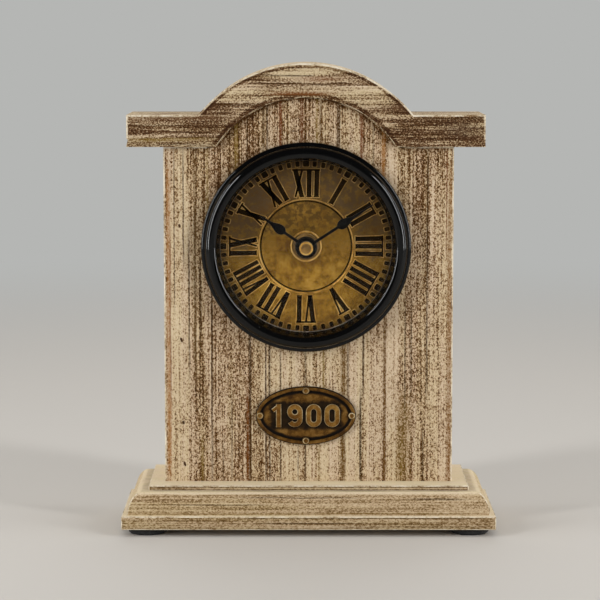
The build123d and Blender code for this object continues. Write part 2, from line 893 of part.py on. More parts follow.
winding_radius = 3.3
flange_radius = 3.7
flange_thickness = 0.8
core_thickness = 0.6
core_height = 3.0
core_middle = arm_top - arm_width / 2


def bar_across(radius, left, right, y, z):
    """A round bar along X, its axis at y and at z above the dial centre."""
    middle = dial_shift + (left + right) / 2
    return Pos(middle, y, dial_height + z) * Rot(0, 90, 0) * Cylinder(radius, right - left)


def coil():
    """A bobbin wound with copper round a flat core that rests on the stator arms."""
    front = stator_span[1]
    y = front + core_thickness / 2
    low = core_middle - core_height / 2
    left = left_arm + arm_width + end_play
    right = right_arm - end_play
    bobbin = movement_block(
        (left_arm, front, low),
        (right_arm + arm_width, front + core_thickness, low + core_height),
    )
    bobbin += bar_across(winding_radius, left, right, y, core_middle)
    bobbin += bar_across(flange_radius, left, left + flange_thickness, y, core_middle)
    bobbin += bar_across(flange_radius, right - flange_thickness, right, y, core_middle)
    return one_solid(bobbin)


board_low = (1.0, 15.6)       # corners in x and z from the dial centre
board_high = (26.0, 26.2)
chip_place = (8.5, 20.0)
chip_radius = 2.6
chip_height = 0.9
can_radius = 1.0
can_left = 14.0
can_right = 20.0
can_height = 22.5


def circuit_board():
    """A small board with the chip under a round drop of resin."""
    front, back = board_span
    board = movement_block((board_low[0], front, board_low[1]), (board_high[0], back, board_high[1]))
    return one_solid(board + rod(chip_radius, back, back + chip_height, chip_place))


def quartz_crystal():
    return one_solid(bar_across(can_radius, can_left, can_right, board_span[1] + can_radius, can_height))


# Battery and its contacts

bay_middle = (-frame_half + bay_top) / 2
bay_play = 0.3
battery_y = room_front + bay_play + battery_radius
battery_edge = 0.4
nub_radius = 2.75
nub_length = 1.0
contact_thickness = 0.3
contact_half = 5.0
cone_radius = 3.2
cone_tip_radius = 1.4


def battery():
    half = battery_length / 2
    cell = bar_across(battery_radius, -half, half - nub_length, battery_y, bay_middle)
    cell = chamfer(cell.edges().filter_by(GeomType.CIRCLE), battery_edge)
    return one_solid(cell + bar_across(nub_radius, half - nub_length, half, battery_y, bay_middle))


def contact(side):
    """A spring-steel contact at one end of the bay: a plate with a pressed cone."""
    inner = frame_half - contact_thickness
    plate = movement_block(
        (inner, battery_y - contact_half, bay_middle - contact_half),
        (frame_half, battery_y + contact_half, bay_middle + contact_half),
    )
    cone_height = inner - battery_length / 2 - bay_play
    cone_middle = dial_shift + inner - cone_height / 2
    cone = Rot(0, -90, 0) * Cone(cone_radius, cone_tip_radius, cone_height)
    piece = plate + Pos(cone_middle, battery_y, dial_height + bay_middle) * cone
    piece = one_solid(piece)
    return piece if side > 0 else mirror(piece, Plane.YZ.offset(dial_shift))


knob_radius = 6.5
knob_span = (movement_back + 0.8, movement_back + 4.2)
knob_flutes = 18
flute_radius = 0.7
flute_reach = knob_radius + 0.2


def setting_knob():
    """The stem with its gear inside and a fluted knob outside."""
    stem = rod(stem_radius, cannon_span[0], knob_span[0], setting_axis)
    stem += rod(stud_radius, room_front - pivot_depth + end_play, cannon_span[0], setting_axis)
    stem += gear(setting_teeth, motion_module, setting_phase, cannon_span, setting_axis)
    stem += rod(knob_radius, knob_span[0], knob_span[1], setting_axis)
    for flute in range(knob_flutes):
        angle = 2 * pi * flute / knob_flutes
        place = (
            setting_axis[0] + flute_reach * cos(angle),
            setting_axis[1] + flute_reach * sin(angle),
        )
        stem -= rod(flute_radius, knob_span[0] - overcut / 2, knob_span[1] + overcut, place)
    return one_solid(stem)


# Hands

hand_tip_half = 0.22          # half width of a hand at its tip
waist_reach = 6.5             # spade's widest point to the waist beyond it
waist_half = 0.65
spade_half = 2.2
shank_half = 0.65


def spade_outline(length, hub_radius, spade_start, widest):
    """A hand that points up +Z from the hub: a slim shank, a spade and a long tip."""
    waist = widest + waist_reach
    round_end = (0.8 * spade_half, (1.5 * spade_start + widest) / 2.5)
    taper = (0.6 * spade_half, (widest + waist) / 2)
    bow = [(shank_half, spade_start), round_end, (spade_half, widest), taper, (waist_half, waist)]
    right = [
        Line((shank_half, 0), (shank_half, spade_start)),
        Spline(*bow),
        Line((waist_half, waist), (hand_tip_half, length)),
    ]
    left = [mirror(edge, Plane.YZ) for edge in right]
    closing = [
        Line((shank_half, 0), (-shank_half, 0)),
        Line((hand_tip_half, length), (-hand_tip_half, length)),
    ]
    return make_face(right + left + closing) + Circle(hub_radius)


def hand(outline, angle, bore, span):
    """A flat hand turned by angle about the dial axis, with its bore cut."""
    turned_outline = Pos(dial_shift, dial_height) * Rot(0, 0, angle * 180 / pi) * (outline - Circle(bore))
    return one_solid(slab(turned_outline, span[0], span[1]))


def hour_hand():
    outline = spade_outline(hour_hand_length, hour_hub_radius, 11.4, 13.9)
    return hand(outline, hour_hand_angle, hour_tube_radius, hour_hand_span)


def minute_hand():
    outline = spade_outline(minute_hand_length, minute_hub_radius, 16.6, 19.2)
    return hand(outline, minute_hand_angle, tip_radius, minute_hand_span)


cap_chamfer = 0.6


def hand_cap():
    """The cap nut that closes the shaft."""
    cap = rod(cap_radius, cap_front, minute_hand_span[0])
    cap = chamfer(cap.edges().group_by(Axis.Y)[0], cap_chamfer)
    return one_solid(cap - rod(tip_radius, cap_front + cap_wall, minute_hand_span[0] + overcut))


os.makedirs("parts", exist_ok=True)
save(plinth(), "plinth")
for end_name, end in (("front", -1), ("rear", 1)):
    for side_name, side in (("left", -1), ("right", 1)):
        save(foot(side, end), "foot_" + end_name + "_" + side_name)
save(front_panel(), "front_panel")
save(side_panel(-1), "side_panel_left")
save(side_panel(1), "side_panel_right")
save(crown(), "crown")
save(crown_dowels(), "crown_dowels")
save(plinth_screws(), "plinth_screws")
save(back_panel(), "back_panel")
save(back_panel_screws(), "back_panel_screws")
save(year_plate(), "year_plate")
save(plate_pins(), "plate_pins")
save(bezel(), "bezel")
save(lens(), "lens")
save(spacer_ring(), "spacer_ring")
save(dial(), "dial")
save(dial_backing(), "dial_backing")
save(cushion_washer(), "cushion_washer")
save(dial_washer(), "dial_washer")
save(mounting_nut(), "mounting_nut")
save(bezel_clips(), "bezel_clips")
save(clip_screws(), "clip_screws")
save(movement_housing(), "movement_housing")
save(movement_cover(), "movement_cover")
save(middle_plate(), "middle_plate")
save(hour_wheel(), "hour_wheel")
save(minute_wheel(), "minute_wheel")
save(minute_arbor(), "minute_arbor")
save(centre_wheel(), "centre_wheel")
save(third_wheel(), "third_wheel")
save(fourth_wheel(), "fourth_wheel")
save(fifth_wheel(), "fifth_wheel")
save(rotor(), "rotor")
save(stator(), "stator")
save(coil(), "coil")
save(circuit_board(), "circuit_board")
save(quartz_crystal(), "quartz_crystal")
save(battery(), "battery")
save(contact(1), "battery_contact_positive")
save(contact(-1), "battery_contact_negative")
save(setting_knob(), "setting_knob")
save(hour_hand(), "hour_hand")
save(minute_hand(), "minute_hand")
save(hand_cap(), "hand_cap")
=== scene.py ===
import math
import bpy
import bmesh
from bmesh.types import BMEdge, BMFace, BMVert
from mathutils import Matrix, Vector, noise


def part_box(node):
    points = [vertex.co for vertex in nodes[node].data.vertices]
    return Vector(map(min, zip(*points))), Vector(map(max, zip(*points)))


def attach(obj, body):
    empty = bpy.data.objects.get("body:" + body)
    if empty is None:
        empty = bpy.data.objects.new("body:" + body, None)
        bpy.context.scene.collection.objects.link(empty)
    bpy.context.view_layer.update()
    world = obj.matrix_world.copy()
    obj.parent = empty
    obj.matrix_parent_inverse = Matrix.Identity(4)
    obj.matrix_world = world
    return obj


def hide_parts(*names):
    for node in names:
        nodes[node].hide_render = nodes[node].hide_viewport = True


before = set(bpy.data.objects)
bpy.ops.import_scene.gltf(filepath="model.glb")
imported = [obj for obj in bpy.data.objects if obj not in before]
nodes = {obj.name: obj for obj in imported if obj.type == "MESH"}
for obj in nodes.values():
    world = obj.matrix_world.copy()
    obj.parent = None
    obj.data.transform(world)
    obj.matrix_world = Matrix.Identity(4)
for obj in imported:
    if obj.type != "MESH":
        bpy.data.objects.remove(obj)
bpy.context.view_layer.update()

mm = 0.001
noise.seed_set(7)      # the same wear on every run
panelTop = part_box("front_panel")[1].z
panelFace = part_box("front_panel")[0].y
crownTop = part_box("crown")[1].z
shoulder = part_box("crown")[0].z          # where crown and front panel meet
wingTop = shoulder + 14.0 * mm
archMiddle = (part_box("crown")[0].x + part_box("crown")[1].x) / 2
archHalf = 39.6 * mm                     # half width of the panel's arch at the shoulder
crownHalf = 47.2 * mm                    # half width of the crown's arch where it leaves the wings
dialMiddle = (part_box("bezel")[0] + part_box("bezel")[1]) / 2
plateMiddle = (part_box("year_plate")[0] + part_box("year_plate")[1]) / 2
print("frame loaded:", len(nodes), "nodes")


finishes = {}      # every material by its name


def paint(red, green, blue):
    def linear(level):
        level /= 255
        return level / 12.92 if level <= 0.04045 else ((level + 0.055) / 1.055) ** 2.4
    return (linear(red), linear(green), linear(blue), 1.0)


def startMaterial(name, roughness, metallic=0.0, sheen=0.5):
    material = bpy.data.materials.new(name)
    material.use_nodes = True
    shader = material.node_tree.nodes["Principled BSDF"]
    shader.inputs["Roughness"].default_value = roughness
    shader.inputs["Metallic"].default_value = metallic
    shader.inputs["Specular IOR Level"].default_value = sheen
    finishes[name] = material
    return material.node_tree, shader


def feed(tree, socket, value):
    # value is another node's output, a plain setting, or a colour as three levels up to 255
    if isinstance(value, bpy.types.NodeSocket):
        tree.links.new(value, socket)
    elif isinstance(value, tuple) and len(value) == 3:
        socket.default_value = paint(*value)
    else:
        socket.default_value = value


def calc(tree, operation, first, second=0.0, third=0.0):
    node = tree.nodes.new("ShaderNodeMath")
    node.operation = operation
    for socket, value in zip(node.inputs, (first, second, third)):
        feed(tree, socket, value)
    return node.outputs[0]


def product(tree, first, *others):
    for other in others:
        first = calc(tree, "MULTIPLY", first, other)
    return first


def weigh(tree, first, share, second, rest):
    return calc(tree, "MULTIPLY_ADD", first, share, calc(tree, "MULTIPLY", second, rest))


def vary(tree, level, texture, amount):
    # the texture averages 0.5, so the level goes up in some places and down in others
    return calc(tree, "MULTIPLY_ADD", calc(tree, "SUBTRACT", texture, 0.5), amount, level)


def gap(tree, value, centre):
    return calc(tree, "ABSOLUTE", calc(tree, "SUBTRACT", value, centre))


def reachFrom(tree, first, second, centre=(0.0, 0.0)):
    # distance from a centre in the plane of two axes
    across = calc(tree, "SUBTRACT", first, centre[0])
    upwards = calc(tree, "SUBTRACT", second, centre[1])
    return calc(tree, "SQRT", weigh(tree, across, across, upwards, upwards))


def fade(tree, value, low, high, start=0.0, end=1.0):
    node = tree.nodes.new("ShaderNodeMapRange")
    node.interpolation_type = "SMOOTHSTEP"
    for socket, setting in zip(node.inputs, (value, low, high, start, end)):
        feed(tree, socket, setting)
    return node.outputs[0]


def lift(tree, level, amount, value, low, high):
    # adds up to the whole amount as the value goes from low to high
    return calc(tree, "ADD", level, fade(tree, value, low, high, 0.0, amount))


def blend(tree, share, first, second, mode="MIX"):
    node = tree.nodes.new("ShaderNodeMix")
    node.data_type = "RGBA"
    node.blend_type = mode
    colours = [socket for socket in node.inputs if socket.type == "RGBA"]
    feed(tree, node.inputs[0], share)
    feed(tree, colours[0], first)
    feed(tree, colours[1], second)
    return next(socket for socket in node.outputs if socket.type == "RGBA")


def ramp(tree, value, stops):
    node = tree.nodes.new("ShaderNodeValToRGB")
    band = node.color_ramp
    stops = [(place, paint(*colour)) for place, colour in stops]
    band.elements[0].position, band.elements[0].color = stops[0]
    band.elements[1].position, band.elements[1].color = stops[-1]
    for place, colour in stops[1:-1]:
        band.elements.new(place).color = colour
    feed(tree, node.inputs[0], value)
    return node.outputs[0]


def streak(tree, size, detail, rough, shift=0.0, warp=0.0):
    # noise with grains of one size all round, or of three lengths along X, Y and Z, in metres
    lengths = size if isinstance(size, tuple) else (size,) * 3
    coords = tree.nodes.new("ShaderNodeTexCoord")
    mapping = tree.nodes.new("ShaderNodeMapping")
    mapping.inputs["Scale"].default_value = [1 / length for length in lengths]
    mapping.inputs["Location"].default_value = (shift, shift * 0.7, shift * 1.3)
    texture = tree.nodes.new("ShaderNodeTexNoise")
    settings = {"Scale": 1.0, "Detail": detail, "Roughness": rough, "Distortion": warp}
    for name, setting in settings.items():
        texture.inputs[name].default_value = setting
    tree.links.new(coords.outputs["Object"], mapping.inputs["Vector"])
    tree.links.new(mapping.outputs["Vector"], texture.inputs["Vector"])
    return texture.outputs[0]


def axes(tree, kind="Object"):
    coords = tree.nodes.new("ShaderNodeTexCoord")
    split = tree.nodes.new("ShaderNodeSeparateXYZ")
    tree.links.new(coords.outputs[kind], split.inputs[0])
    return split.outputs


def coat(tree, shader, colour, roughness, height, depth, strength=1.0):
    # what every finish sets: its colour, its roughness and a bump of the given depth
    feed(tree, shader.inputs["Base Color"], colour)
    feed(tree, shader.inputs["Roughness"], roughness)
    bump = tree.nodes.new("ShaderNodeBump")
    bump.inputs["Strength"].default_value = strength
    bump.inputs["Distance"].default_value = depth
    feed(tree, bump.inputs["Height"], height)
    tree.links.new(bump.outputs["Normal"], shader.inputs["Normal"])


def mixShaders(tree, share, first, second):
    mix = tree.nodes.new("ShaderNodeMixShader")
    feed(tree, mix.inputs[0], share)
    tree.links.new(first.outputs[0], mix.inputs[1])
    tree.links.new(second.outputs[0], mix.inputs[2])
    tree.links.new(mix.outputs[0], tree.nodes["Material Output"].inputs["Surface"])


def washedWood(name, look):
    # whitewash rubbed off open-grained wood: the level runs from bare wood up to thick wash
    tree, shader = startMaterial(name, 0.85, sheen=0.12)
    along, swirl = look["along"], look["swirl"]

    def grain(width, length, detail, rough, shift, warp=0.0):
        size = tuple(length if axis == along else width for axis in "XYZ")
        return streak(tree, size, detail, rough, look["shift"] + shift, warp)

    textures = {
        "columns": grain(4.5 * mm, 320 * mm, 2, 0.55, 0, 0.1),
        "lines": grain(0.8 * mm, look["lineLength"], 3, 0.6, 3.1, swirl),
        "patches": grain(8 * mm, 22 * mm, 3, 0.6, 5.3, swirl),
        "specks": grain(look["speckWidth"], look["speckLength"], 2, 0.8, 7.7),
    }
    level = 0.5 + look["cover"]
    for layer, texture in textures.items():
        level = vary(tree, level, texture, look[layer])
    x, _, z = axes(tree)
    for axis, low, high, amount in look["shades"]:
        level = lift(tree, level, amount, x if axis == "x" else z, low * mm, high * mm)
    for at, half, amount in look["zones"]:
        level = lift(tree, level, amount, gap(tree, x, at * mm), (half + 1.5) * mm, (half - 1) * mm)
    # darker bands that follow an arch: on the panel a painted shadow under the crown's arch, on the crown a
    # band along its inner arch that is partly stain and partly painted shade, and a darker line just below
    # its top edge
    for height, radius, width, amount, above in look["arcs"]:
        off = gap(tree, reachFrom(tree, x, z, (archMiddle, height)), radius)
        band = product(tree, fade(tree, off, width, 0.2 * width), fade(tree, z, above, above + mm))
        level = calc(tree, "MULTIPLY_ADD", band, amount, level)
    # painted light: faces that look up or sideways are made paler, as if more light falls on them
    facing = axes(tree, "Normal")
    level = lift(tree, level, look["paintedTopLight"], facing[2], 0.75, 0.95)
    level = lift(tree, level, look["paintedSideLight"], gap(tree, facing[0], 0.0), 0.3, 0.7)
    stops = zip((0.22, 0.36, 0.45, 0.49, 0.54, 0.84), ("dark", "brown", "tan", "grey", "wash", "pale"))
    colour = ramp(tree, level, [(place, look[tone]) for place, tone in stops])
    tints = fade(tree, grain(5 * mm, 120 * mm, 2, 0.5, 13), 0.44, 0.56)
    tints = blend(tree, tints, look["rosy"], look["yellowish"])
    colour = blend(tree, 1.0, colour, tints, "MULTIPLY")
    across, lengthwise = (z, x) if along == "X" else (x, z)
    broken = calc(tree, "MULTIPLY_ADD", textures["specks"], 1.4, textures["lines"])
    broken = fade(tree, broken, 1.4, 1.15, 0.55, 1.0)
    for at, half, low, high, share, tone, wander, soft in look["stains"]:
        offset = calc(tree, "MULTIPLY_ADD", textures["patches"], wander, across)
        offset = gap(tree, offset, at + wander / 2)
        band = product(
            tree, fade(tree, offset, half, 0.35 * half), fade(tree, lengthwise, low - soft, low + soft),
            fade(tree, lengthwise, high + soft, high - soft), broken, share)
        colour = blend(tree, band, colour, tone)
    coat(tree, shader, colour, fade(tree, level, 0.3, 0.7, 0.92, 0.76), level, look["depth"])


def paleEdge(name, shift, grainWidth, stops):
    # edges where the whitewash lies thick, with a little grime and bare wood
    tree, shader = startMaterial(name, 0.8, sheen=0.15)
    grain = streak(tree, grainWidth, 3, 0.65, shift)
    broad = streak(tree, 8 * grainWidth, 2, 0.5, shift + 3)
    colour = ramp(tree, weigh(tree, broad, 0.6, grain, 0.6), stops)
    coat(tree, shader, colour, fade(tree, grain, 0.3, 0.7, 0.9, 0.7), grain, 0.15 * mm)


def archRadius(half, rise):
    return (half ** 2 + rise ** 2) / (2 * rise)


def stains(rows):
    # dark lines in mm: place across the grain, half width, from, to, share, colour, wander, softness
    def stripe(at, half, low, high, share, colour, wander=0.8, soft=8):
        return (at * mm, half * mm, low * mm, high * mm, share, colour, wander * mm, soft * mm)
    return [stripe(*row) for row in rows]


darkBrown, redBrown, orange, olive = (64, 40, 14), (104, 56, 24), (146, 96, 42), (122, 96, 40)
outerArch = archRadius(crownHalf, crownTop - wingTop)
innerArch = archRadius(archHalf, panelTop - shoulder)
archHeight = panelTop - innerArch
woodLook = {
    "along": "Z", "shift": 0.0, "speckWidth": 0.6 * mm, "speckLength": 0.85 * mm, "lineLength": 60 * mm,
    "swirl": 0.0, "columns": 0.28, "lines": 0.80, "patches": 0.30, "specks": 1.40, "cover": 0.02,
    "dark": (56, 32, 10), "brown": (98, 66, 34), "tan": (136, 106, 72), "grey": (168, 143, 112),
    "wash": (194, 172, 143), "pale": (212, 195, 170), "depth": 0.16 * mm,
    "rosy": (1.0, 0.965, 0.925, 1.0), "yellowish": (1.0, 0.980, 0.885, 1.0),
    "paintedTopLight": 0.2, "paintedSideLight": 0.12, "shades": (), "zones": (), "arcs": (), "stains": (),
}
panelLook = dict(
    # the arc is painted shadow, darkening the panel just under the crown's arch
    woodLook, arcs=((archHeight, innerArch, 2.2 * mm, -0.14, shoulder),), shades=(("z", 110, 182, -0.07),),
    zones=((-57.5, 4.0, 0.10), (-36, 15, -0.05), (-12, 9, 0.05), (7, 7, 0.06), (19.8, 3.2, 0.12),
           (28.5, 4, 0.03), (37.2, 2.4, 0.10), (46.5, 6.5, -0.05), (57.5, 4, 0.04)),
    stains=stains([
        (-61.9, 1.2, 22, 160, 0.8, orange), (62.3, 1.2, 22, 160, 0.8, (118, 78, 34)),
        (-26.7, 1.4, 20, 62, 1.0, (102, 58, 20)), (-26.0, 0.8, 20, 96, 1.0, darkBrown),
        (-19.0, 0.55, 20, 94, 0.95, darkBrown), (-17.4, 0.6, 20, 96, 1.0, darkBrown),
        (-42.9, 0.7, 20, 120, 0.8, darkBrown), (-34.1, 0.5, 20, 60, 0.7, darkBrown),
        (-47.3, 0.8, 20, 40, 0.7, olive), (-38.0, 0.4, 20, 36, 0.8, darkBrown),
        (-52.9, 0.55, 70, 130, 0.8, darkBrown), (-50.2, 1.0, 66, 168, 0.75, (92, 66, 34)),
        (-47.8, 0.6, 84, 124, 0.8, darkBrown), (-55.3, 0.55, 120, 168, 0.85, darkBrown),
        (-59.4, 0.4, 100, 168, 0.8, darkBrown), (-44.7, 0.6, 130, 168, 0.7, olive),
        (-61.2, 0.5, 60, 130, 0.6, redBrown), (-12.4, 0.55, 20, 80, 0.8, darkBrown),
        (-4.5, 0.5, 20, 36, 0.7, darkBrown), (-1.4, 0.55, 20, 84, 0.85, darkBrown),
        (6.6, 0.6, 58, 84, 0.85, olive), (4.8, 0.4, 20, 40, 0.6, olive),
        (15.4, 1.5, 20, 90, 0.85, (98, 68, 24)), (17.4, 0.8, 56, 84, 0.7, darkBrown),
        (23.2, 0.7, 20, 60, 1.0, (56, 36, 8)), (24.3, 0.7, 60, 94, 0.9, darkBrown),
        (33.8, 1.0, 20, 100, 0.85, (96, 64, 24)), (41.6, 0.7, 20, 40, 0.7, olive),
        (42.8, 0.6, 50, 100, 0.8, darkBrown), (45.5, 0.6, 60, 100, 0.8, darkBrown),
        (50.9, 0.5, 20, 44, 0.8, darkBrown), (52.5, 0.7, 60, 168, 0.85, darkBrown),
        (60.9, 0.5, 120, 168, 0.6, redBrown), (-31.9, 1.1, 160, 184, 0.85, olive),
        (-27.0, 0.6, 160, 186, 0.7, darkBrown), (-19.9, 0.8, 166, 192, 0.9, (84, 58, 28)),
        (-18.2, 0.7, 166, 192, 0.9, darkBrown), (-12.4, 0.9, 166, 192, 0.95, redBrown),
        (-3.1, 1.0, 168, 192, 0.85, (98, 56, 28)), (3.5, 0.7, 166, 192, 0.7, olive),
        (5.3, 0.8, 166, 192, 0.95, (84, 54, 18)), (13.2, 1.2, 164, 192, 1.0, (70, 42, 12)),
        (23.2, 1.0, 158, 188, 0.85, redBrown), (33.0, 1.2, 152, 178, 0.9, orange),
        (28.4, 0.6, 156, 180, 0.7, darkBrown), (42.0, 5.0, 18, 58, 0.4, olive),
    ]),
)
crownLook = dict(
    woodLook, along="X", shift=11.0, columns=0.25, lines=0.85, patches=0.4, specks=1.25, cover=0.01,
    swirl=0.4, lineLength=30 * mm, dark=(52, 30, 14), brown=(84, 56, 32), tan=(118, 90, 62),
    grey=(152, 128, 98), wash=(186, 166, 136), shades=(("x", -30, -46, -0.10), ("x", 30, 44, -0.14)),
    # arcs: a dark band along the inner arch, partly stain and partly painted shade, and a darker line just
    # below the top edge
    arcs=((archHeight, innerArch + 1.1 * mm, 1.5 * mm, -0.2, shoulder),
          (crownTop - outerArch, outerArch - 1.4 * mm, 0.9 * mm, -0.16, wingTop)),
    stains=stains([
        (201.2, 0.45, -22, 2, 1.0, darkBrown, 1.5, 2), (197.6, 0.4, -24, 20, 0.8, darkBrown, 3),
        (193.4, 1.3, -16, 9, 0.85, (118, 72, 36)), (199.6, 1.6, -2, 11, 0.75, (118, 74, 42)),
        (182.6, 1.6, -78, -36, 0.7, (92, 62, 36), 3), (179.4, 0.5, -78, -50, 0.8, darkBrown, 2),
        (173.2, 1.0, -76, -46, 0.75, olive, 3), (171.2, 0.5, -70, -42, 0.8, darkBrown, 3),
        (177.6, 4.6, 59, 75, 0.6, (70, 50, 36), 3), (182.2, 0.7, 48, 78, 0.8, darkBrown),
        (186.8, 2.4, 30, 46, 0.55, (88, 60, 38), 5), (188.5, 0.5, -44, -20, 0.8, darkBrown, 4),
    ]),
)
plinthLook = dict(
    woodLook, along="X", shift=21.0, columns=0.15, lines=0.55, patches=0.15, specks=0.8,
    speckLength=1.0 * mm, paintedTopLight=0.36, brown=(104, 78, 44), tan=(132, 108, 74), grey=(158, 136, 104),
    wash=(178, 156, 124), pale=(214, 199, 172),
    # dark lines running the length of the moulding
    stains=stains([
        (19.9, 0.35, -72, 72, 0.8, darkBrown, 0.3), (18.75, 0.3, -72, 72, 0.75, darkBrown, 0.2),
        (15.9, 0.55, 46, 68, 0.95, darkBrown), (16.4, 0.35, -30, 20, 0.8, darkBrown, 1.2),
        (13.6, 0.35, -60, -20, 0.7, darkBrown), (9.75, 0.45, -74, 74, 0.65, (112, 88, 40), 0.3),
        (8.2, 0.3, -30, 74, 0.75, darkBrown, 0.4), (6.0, 0.4, -20, 20, 0.75, darkBrown),
        (4.4, 0.3, 10, 76, 0.6, darkBrown),
    ]),
)
plainLook = dict(
    woodLook, shift=41.0, columns=0.4, lines=0.5, patches=0.5, specks=0.7, depth=0.12 * mm,
    dark=(122, 92, 60), brown=(146, 116, 80), tan=(158, 128, 90), grey=(168, 138, 100),
    wash=(178, 150, 112), pale=(194, 168, 130),
)
washedWood("panelWood", panelLook)
washedWood("crownWood", crownLook)
washedWood("plinthWood", plinthLook)
washedWood("sideWood", dict(woodLook, shift=31.0))
washedWood("plainBoard", plainLook)
paleEdge("paleEdge", 2.0, 1.1 * mm, [
    (0.42, (120, 92, 60)), (0.52, (178, 158, 128)), (0.59, (206, 191, 165)), (0.72, (224, 213, 192))])
paleEdge("wornEdge", 5.0, 0.9 * mm, [
    (0.57, (84, 56, 28)), (0.60, (124, 94, 58)), (0.63, (196, 176, 142)), (0.74, (214, 198, 168))])


def brassCoat(name, look):
    # aged brass: mottled patina, painted shade and painted reflection laid on in zones, and blackened where
    # the grime attribute (grime in hollows, painted shadow round the plate's edge) or a close corner says so
    tree, shader = startMaterial(name, 0.42, look["metal"], 0.2)
    shift, rough, black = look["shift"], look["rough"], look["black"]
    cloud = streak(tree, 9 * mm, 4, 0.6, shift)
    blotch = streak(tree, 2.6 * mm, 3, 0.6, shift + 4)
    dots = streak(tree, 0.7 * mm, 2, 0.6, shift + 8)
    level = vary(tree, weigh(tree, cloud, 0.6, blotch, 0.4), dots, 0.16)
    colour = ramp(tree, level, zip((0.39, 0.47, 0.53, 0.62), look["tones"]))
    x, _, z = axes(tree)
    for low, high, inner, outer, share, tone in look["paintedLight"]:
        # painted shade and painted reflection: a tone laid between two heights and outside a radius, with a
        # border that follows the clouds
        height = vary(tree, z, cloud, 70 * mm)
        reach = reachFrom(tree, x, z, (dialMiddle.x, dialMiddle.z))
        amount = product(
            tree, fade(tree, height, low * mm, high * mm, 0.0, share),
            fade(tree, reach, inner * mm, outer * mm), fade(tree, blotch, 0.4, 0.56, 0.45, 1.0))
        colour = blend(tree, amount, colour, tone)
    if "block" in look:
        # thick patina round a raised number: a soft-edged rectangle in the middle of the plate
        halfWide, halfTall, soft = look["block"]
        sideways = calc(tree, "SUBTRACT", gap(tree, x, plateMiddle.x), halfWide)
        upwards = calc(tree, "SUBTRACT", gap(tree, z, plateMiddle.z), halfTall)
        off = reachFrom(tree, calc(tree, "MAXIMUM", sideways, 0.0), calc(tree, "MAXIMUM", upwards, 0.0))
        off = vary(tree, off, blotch, 3 * mm)
        colour = blend(tree, fade(tree, off, soft, 0.2 * soft, 0.0, 0.9), colour, black)
    if "corners" in look:
        corners = tree.nodes.new("ShaderNodeAmbientOcclusion")
        corners.samples = 12
        corners.inputs["Distance"].default_value = look["corners"]
        hidden = vary(tree, corners.outputs["AO"], blotch, 0.3)
        colour = blend(tree, fade(tree, hidden, 0.93, 0.66), colour, black)
    # the attribute holds grime in the plate's trough and painted shadow on its outer edge
    grimeAndShadow = tree.nodes.new("ShaderNodeAttribute")
    grimeAndShadow.attribute_name = "grimeAndShadow"
    dirtAndShadow = vary(tree, grimeAndShadow.outputs["Fac"], blotch, 0.7)
    colour = blend(tree, fade(tree, dirtAndShadow, 0.25, 0.75), colour, black)
    roughness = fade(tree, level, 0.36, 0.66, rough + 0.12, rough - 0.06)
    coat(tree, shader, colour, roughness, calc(tree, "MULTIPLY_ADD", dots, 0.4, blotch), 0.10 * mm, 0.5)


brassLooks = {
    "dialBrass": {
        "shift": 0.0, "metal": 0.35, "rough": 0.45, "black": (16, 11, 6),
        "tones": [(88, 58, 10), (112, 80, 16), (130, 97, 28), (150, 116, 48)],
        # painted light on the dial: painted shade darkens its upper part, a grey painted reflection lies over
        # its upper outer part, and painted shade darkens its edge beside the ring
        "paintedLight": [(116, 142, -2, -1, 0.9, (58, 37, 8)), (118, 132, 19.5, 25, 0.7, (78, 60, 38)),
                 (60, 80, 35, 38.5, 0.8, (40, 26, 10))],
    },
    "rimBrass": {
        "shift": 6.0, "metal": 0.5, "rough": 0.35,
        "tones": [(120, 86, 28), (158, 118, 50), (190, 150, 76), (214, 178, 108)],
        # painted shade: the raised rims are duller higher up and darker near the dial's edge
        "paintedLight": [(112, 150, -2, -1, 0.6, (112, 86, 50)), (60, 80, 34, 37, 0.8, (64, 46, 22))],
    },
    "paleBrass": {
        "shift": 12.0, "metal": 0.4, "rough": 0.4,
        "tones": [(120, 98, 64), (150, 128, 90), (176, 154, 112), (204, 186, 150)],
    },
    "darkBrass": {
        "shift": 18.0, "metal": 0.4, "rough": 0.5, "black": (12, 8, 4),
        "tones": [(34, 24, 10), (56, 40, 17), (80, 58, 26), (102, 76, 38)],
    },
    "capFace": {
        "shift": 21.0, "metal": 0.3, "rough": 0.45,
        "tones": [(76, 54, 22), (92, 67, 30), (108, 80, 38), (124, 94, 50)],
    },
    "plateFace": {
        "shift": 15.0, "metal": 0.4, "rough": 0.42,
        "tones": [(92, 58, 14), (116, 78, 28), (136, 98, 42), (158, 122, 62)],
    },
    "plateBrass": {
        "shift": 9.0, "metal": 0.45, "rough": 0.4, "black": (16, 9, 3), "corners": 1.6 * mm,
        "tones": [(62, 38, 8), (88, 58, 18), (110, 76, 28), (136, 100, 48)],
        "block": (14.6 * mm, 4.8 * mm, 2.6 * mm),
    },
}
for name, look in brassLooks.items():
    brassCoat(name, {"black": (30, 20, 10), "paintedLight": (), **look})


def glossBlack(name):
    tree, shader = startMaterial(name, 0.1, sheen=0.28)
    dust = streak(tree, 1.0 * mm, 3, 0.6, 2.0)
    smear = streak(tree, 12 * mm, 3, 0.6, 5.0)
    colour = ramp(tree, dust, [(0.40, (3, 3, 3)), (0.66, (6, 6, 6)), (0.82, (46, 44, 42))])
    coat(tree, shader, colour, fade(tree, smear, 0.35, 0.7, 0.05, 0.1), dust, 0.02 * mm, 0.2)


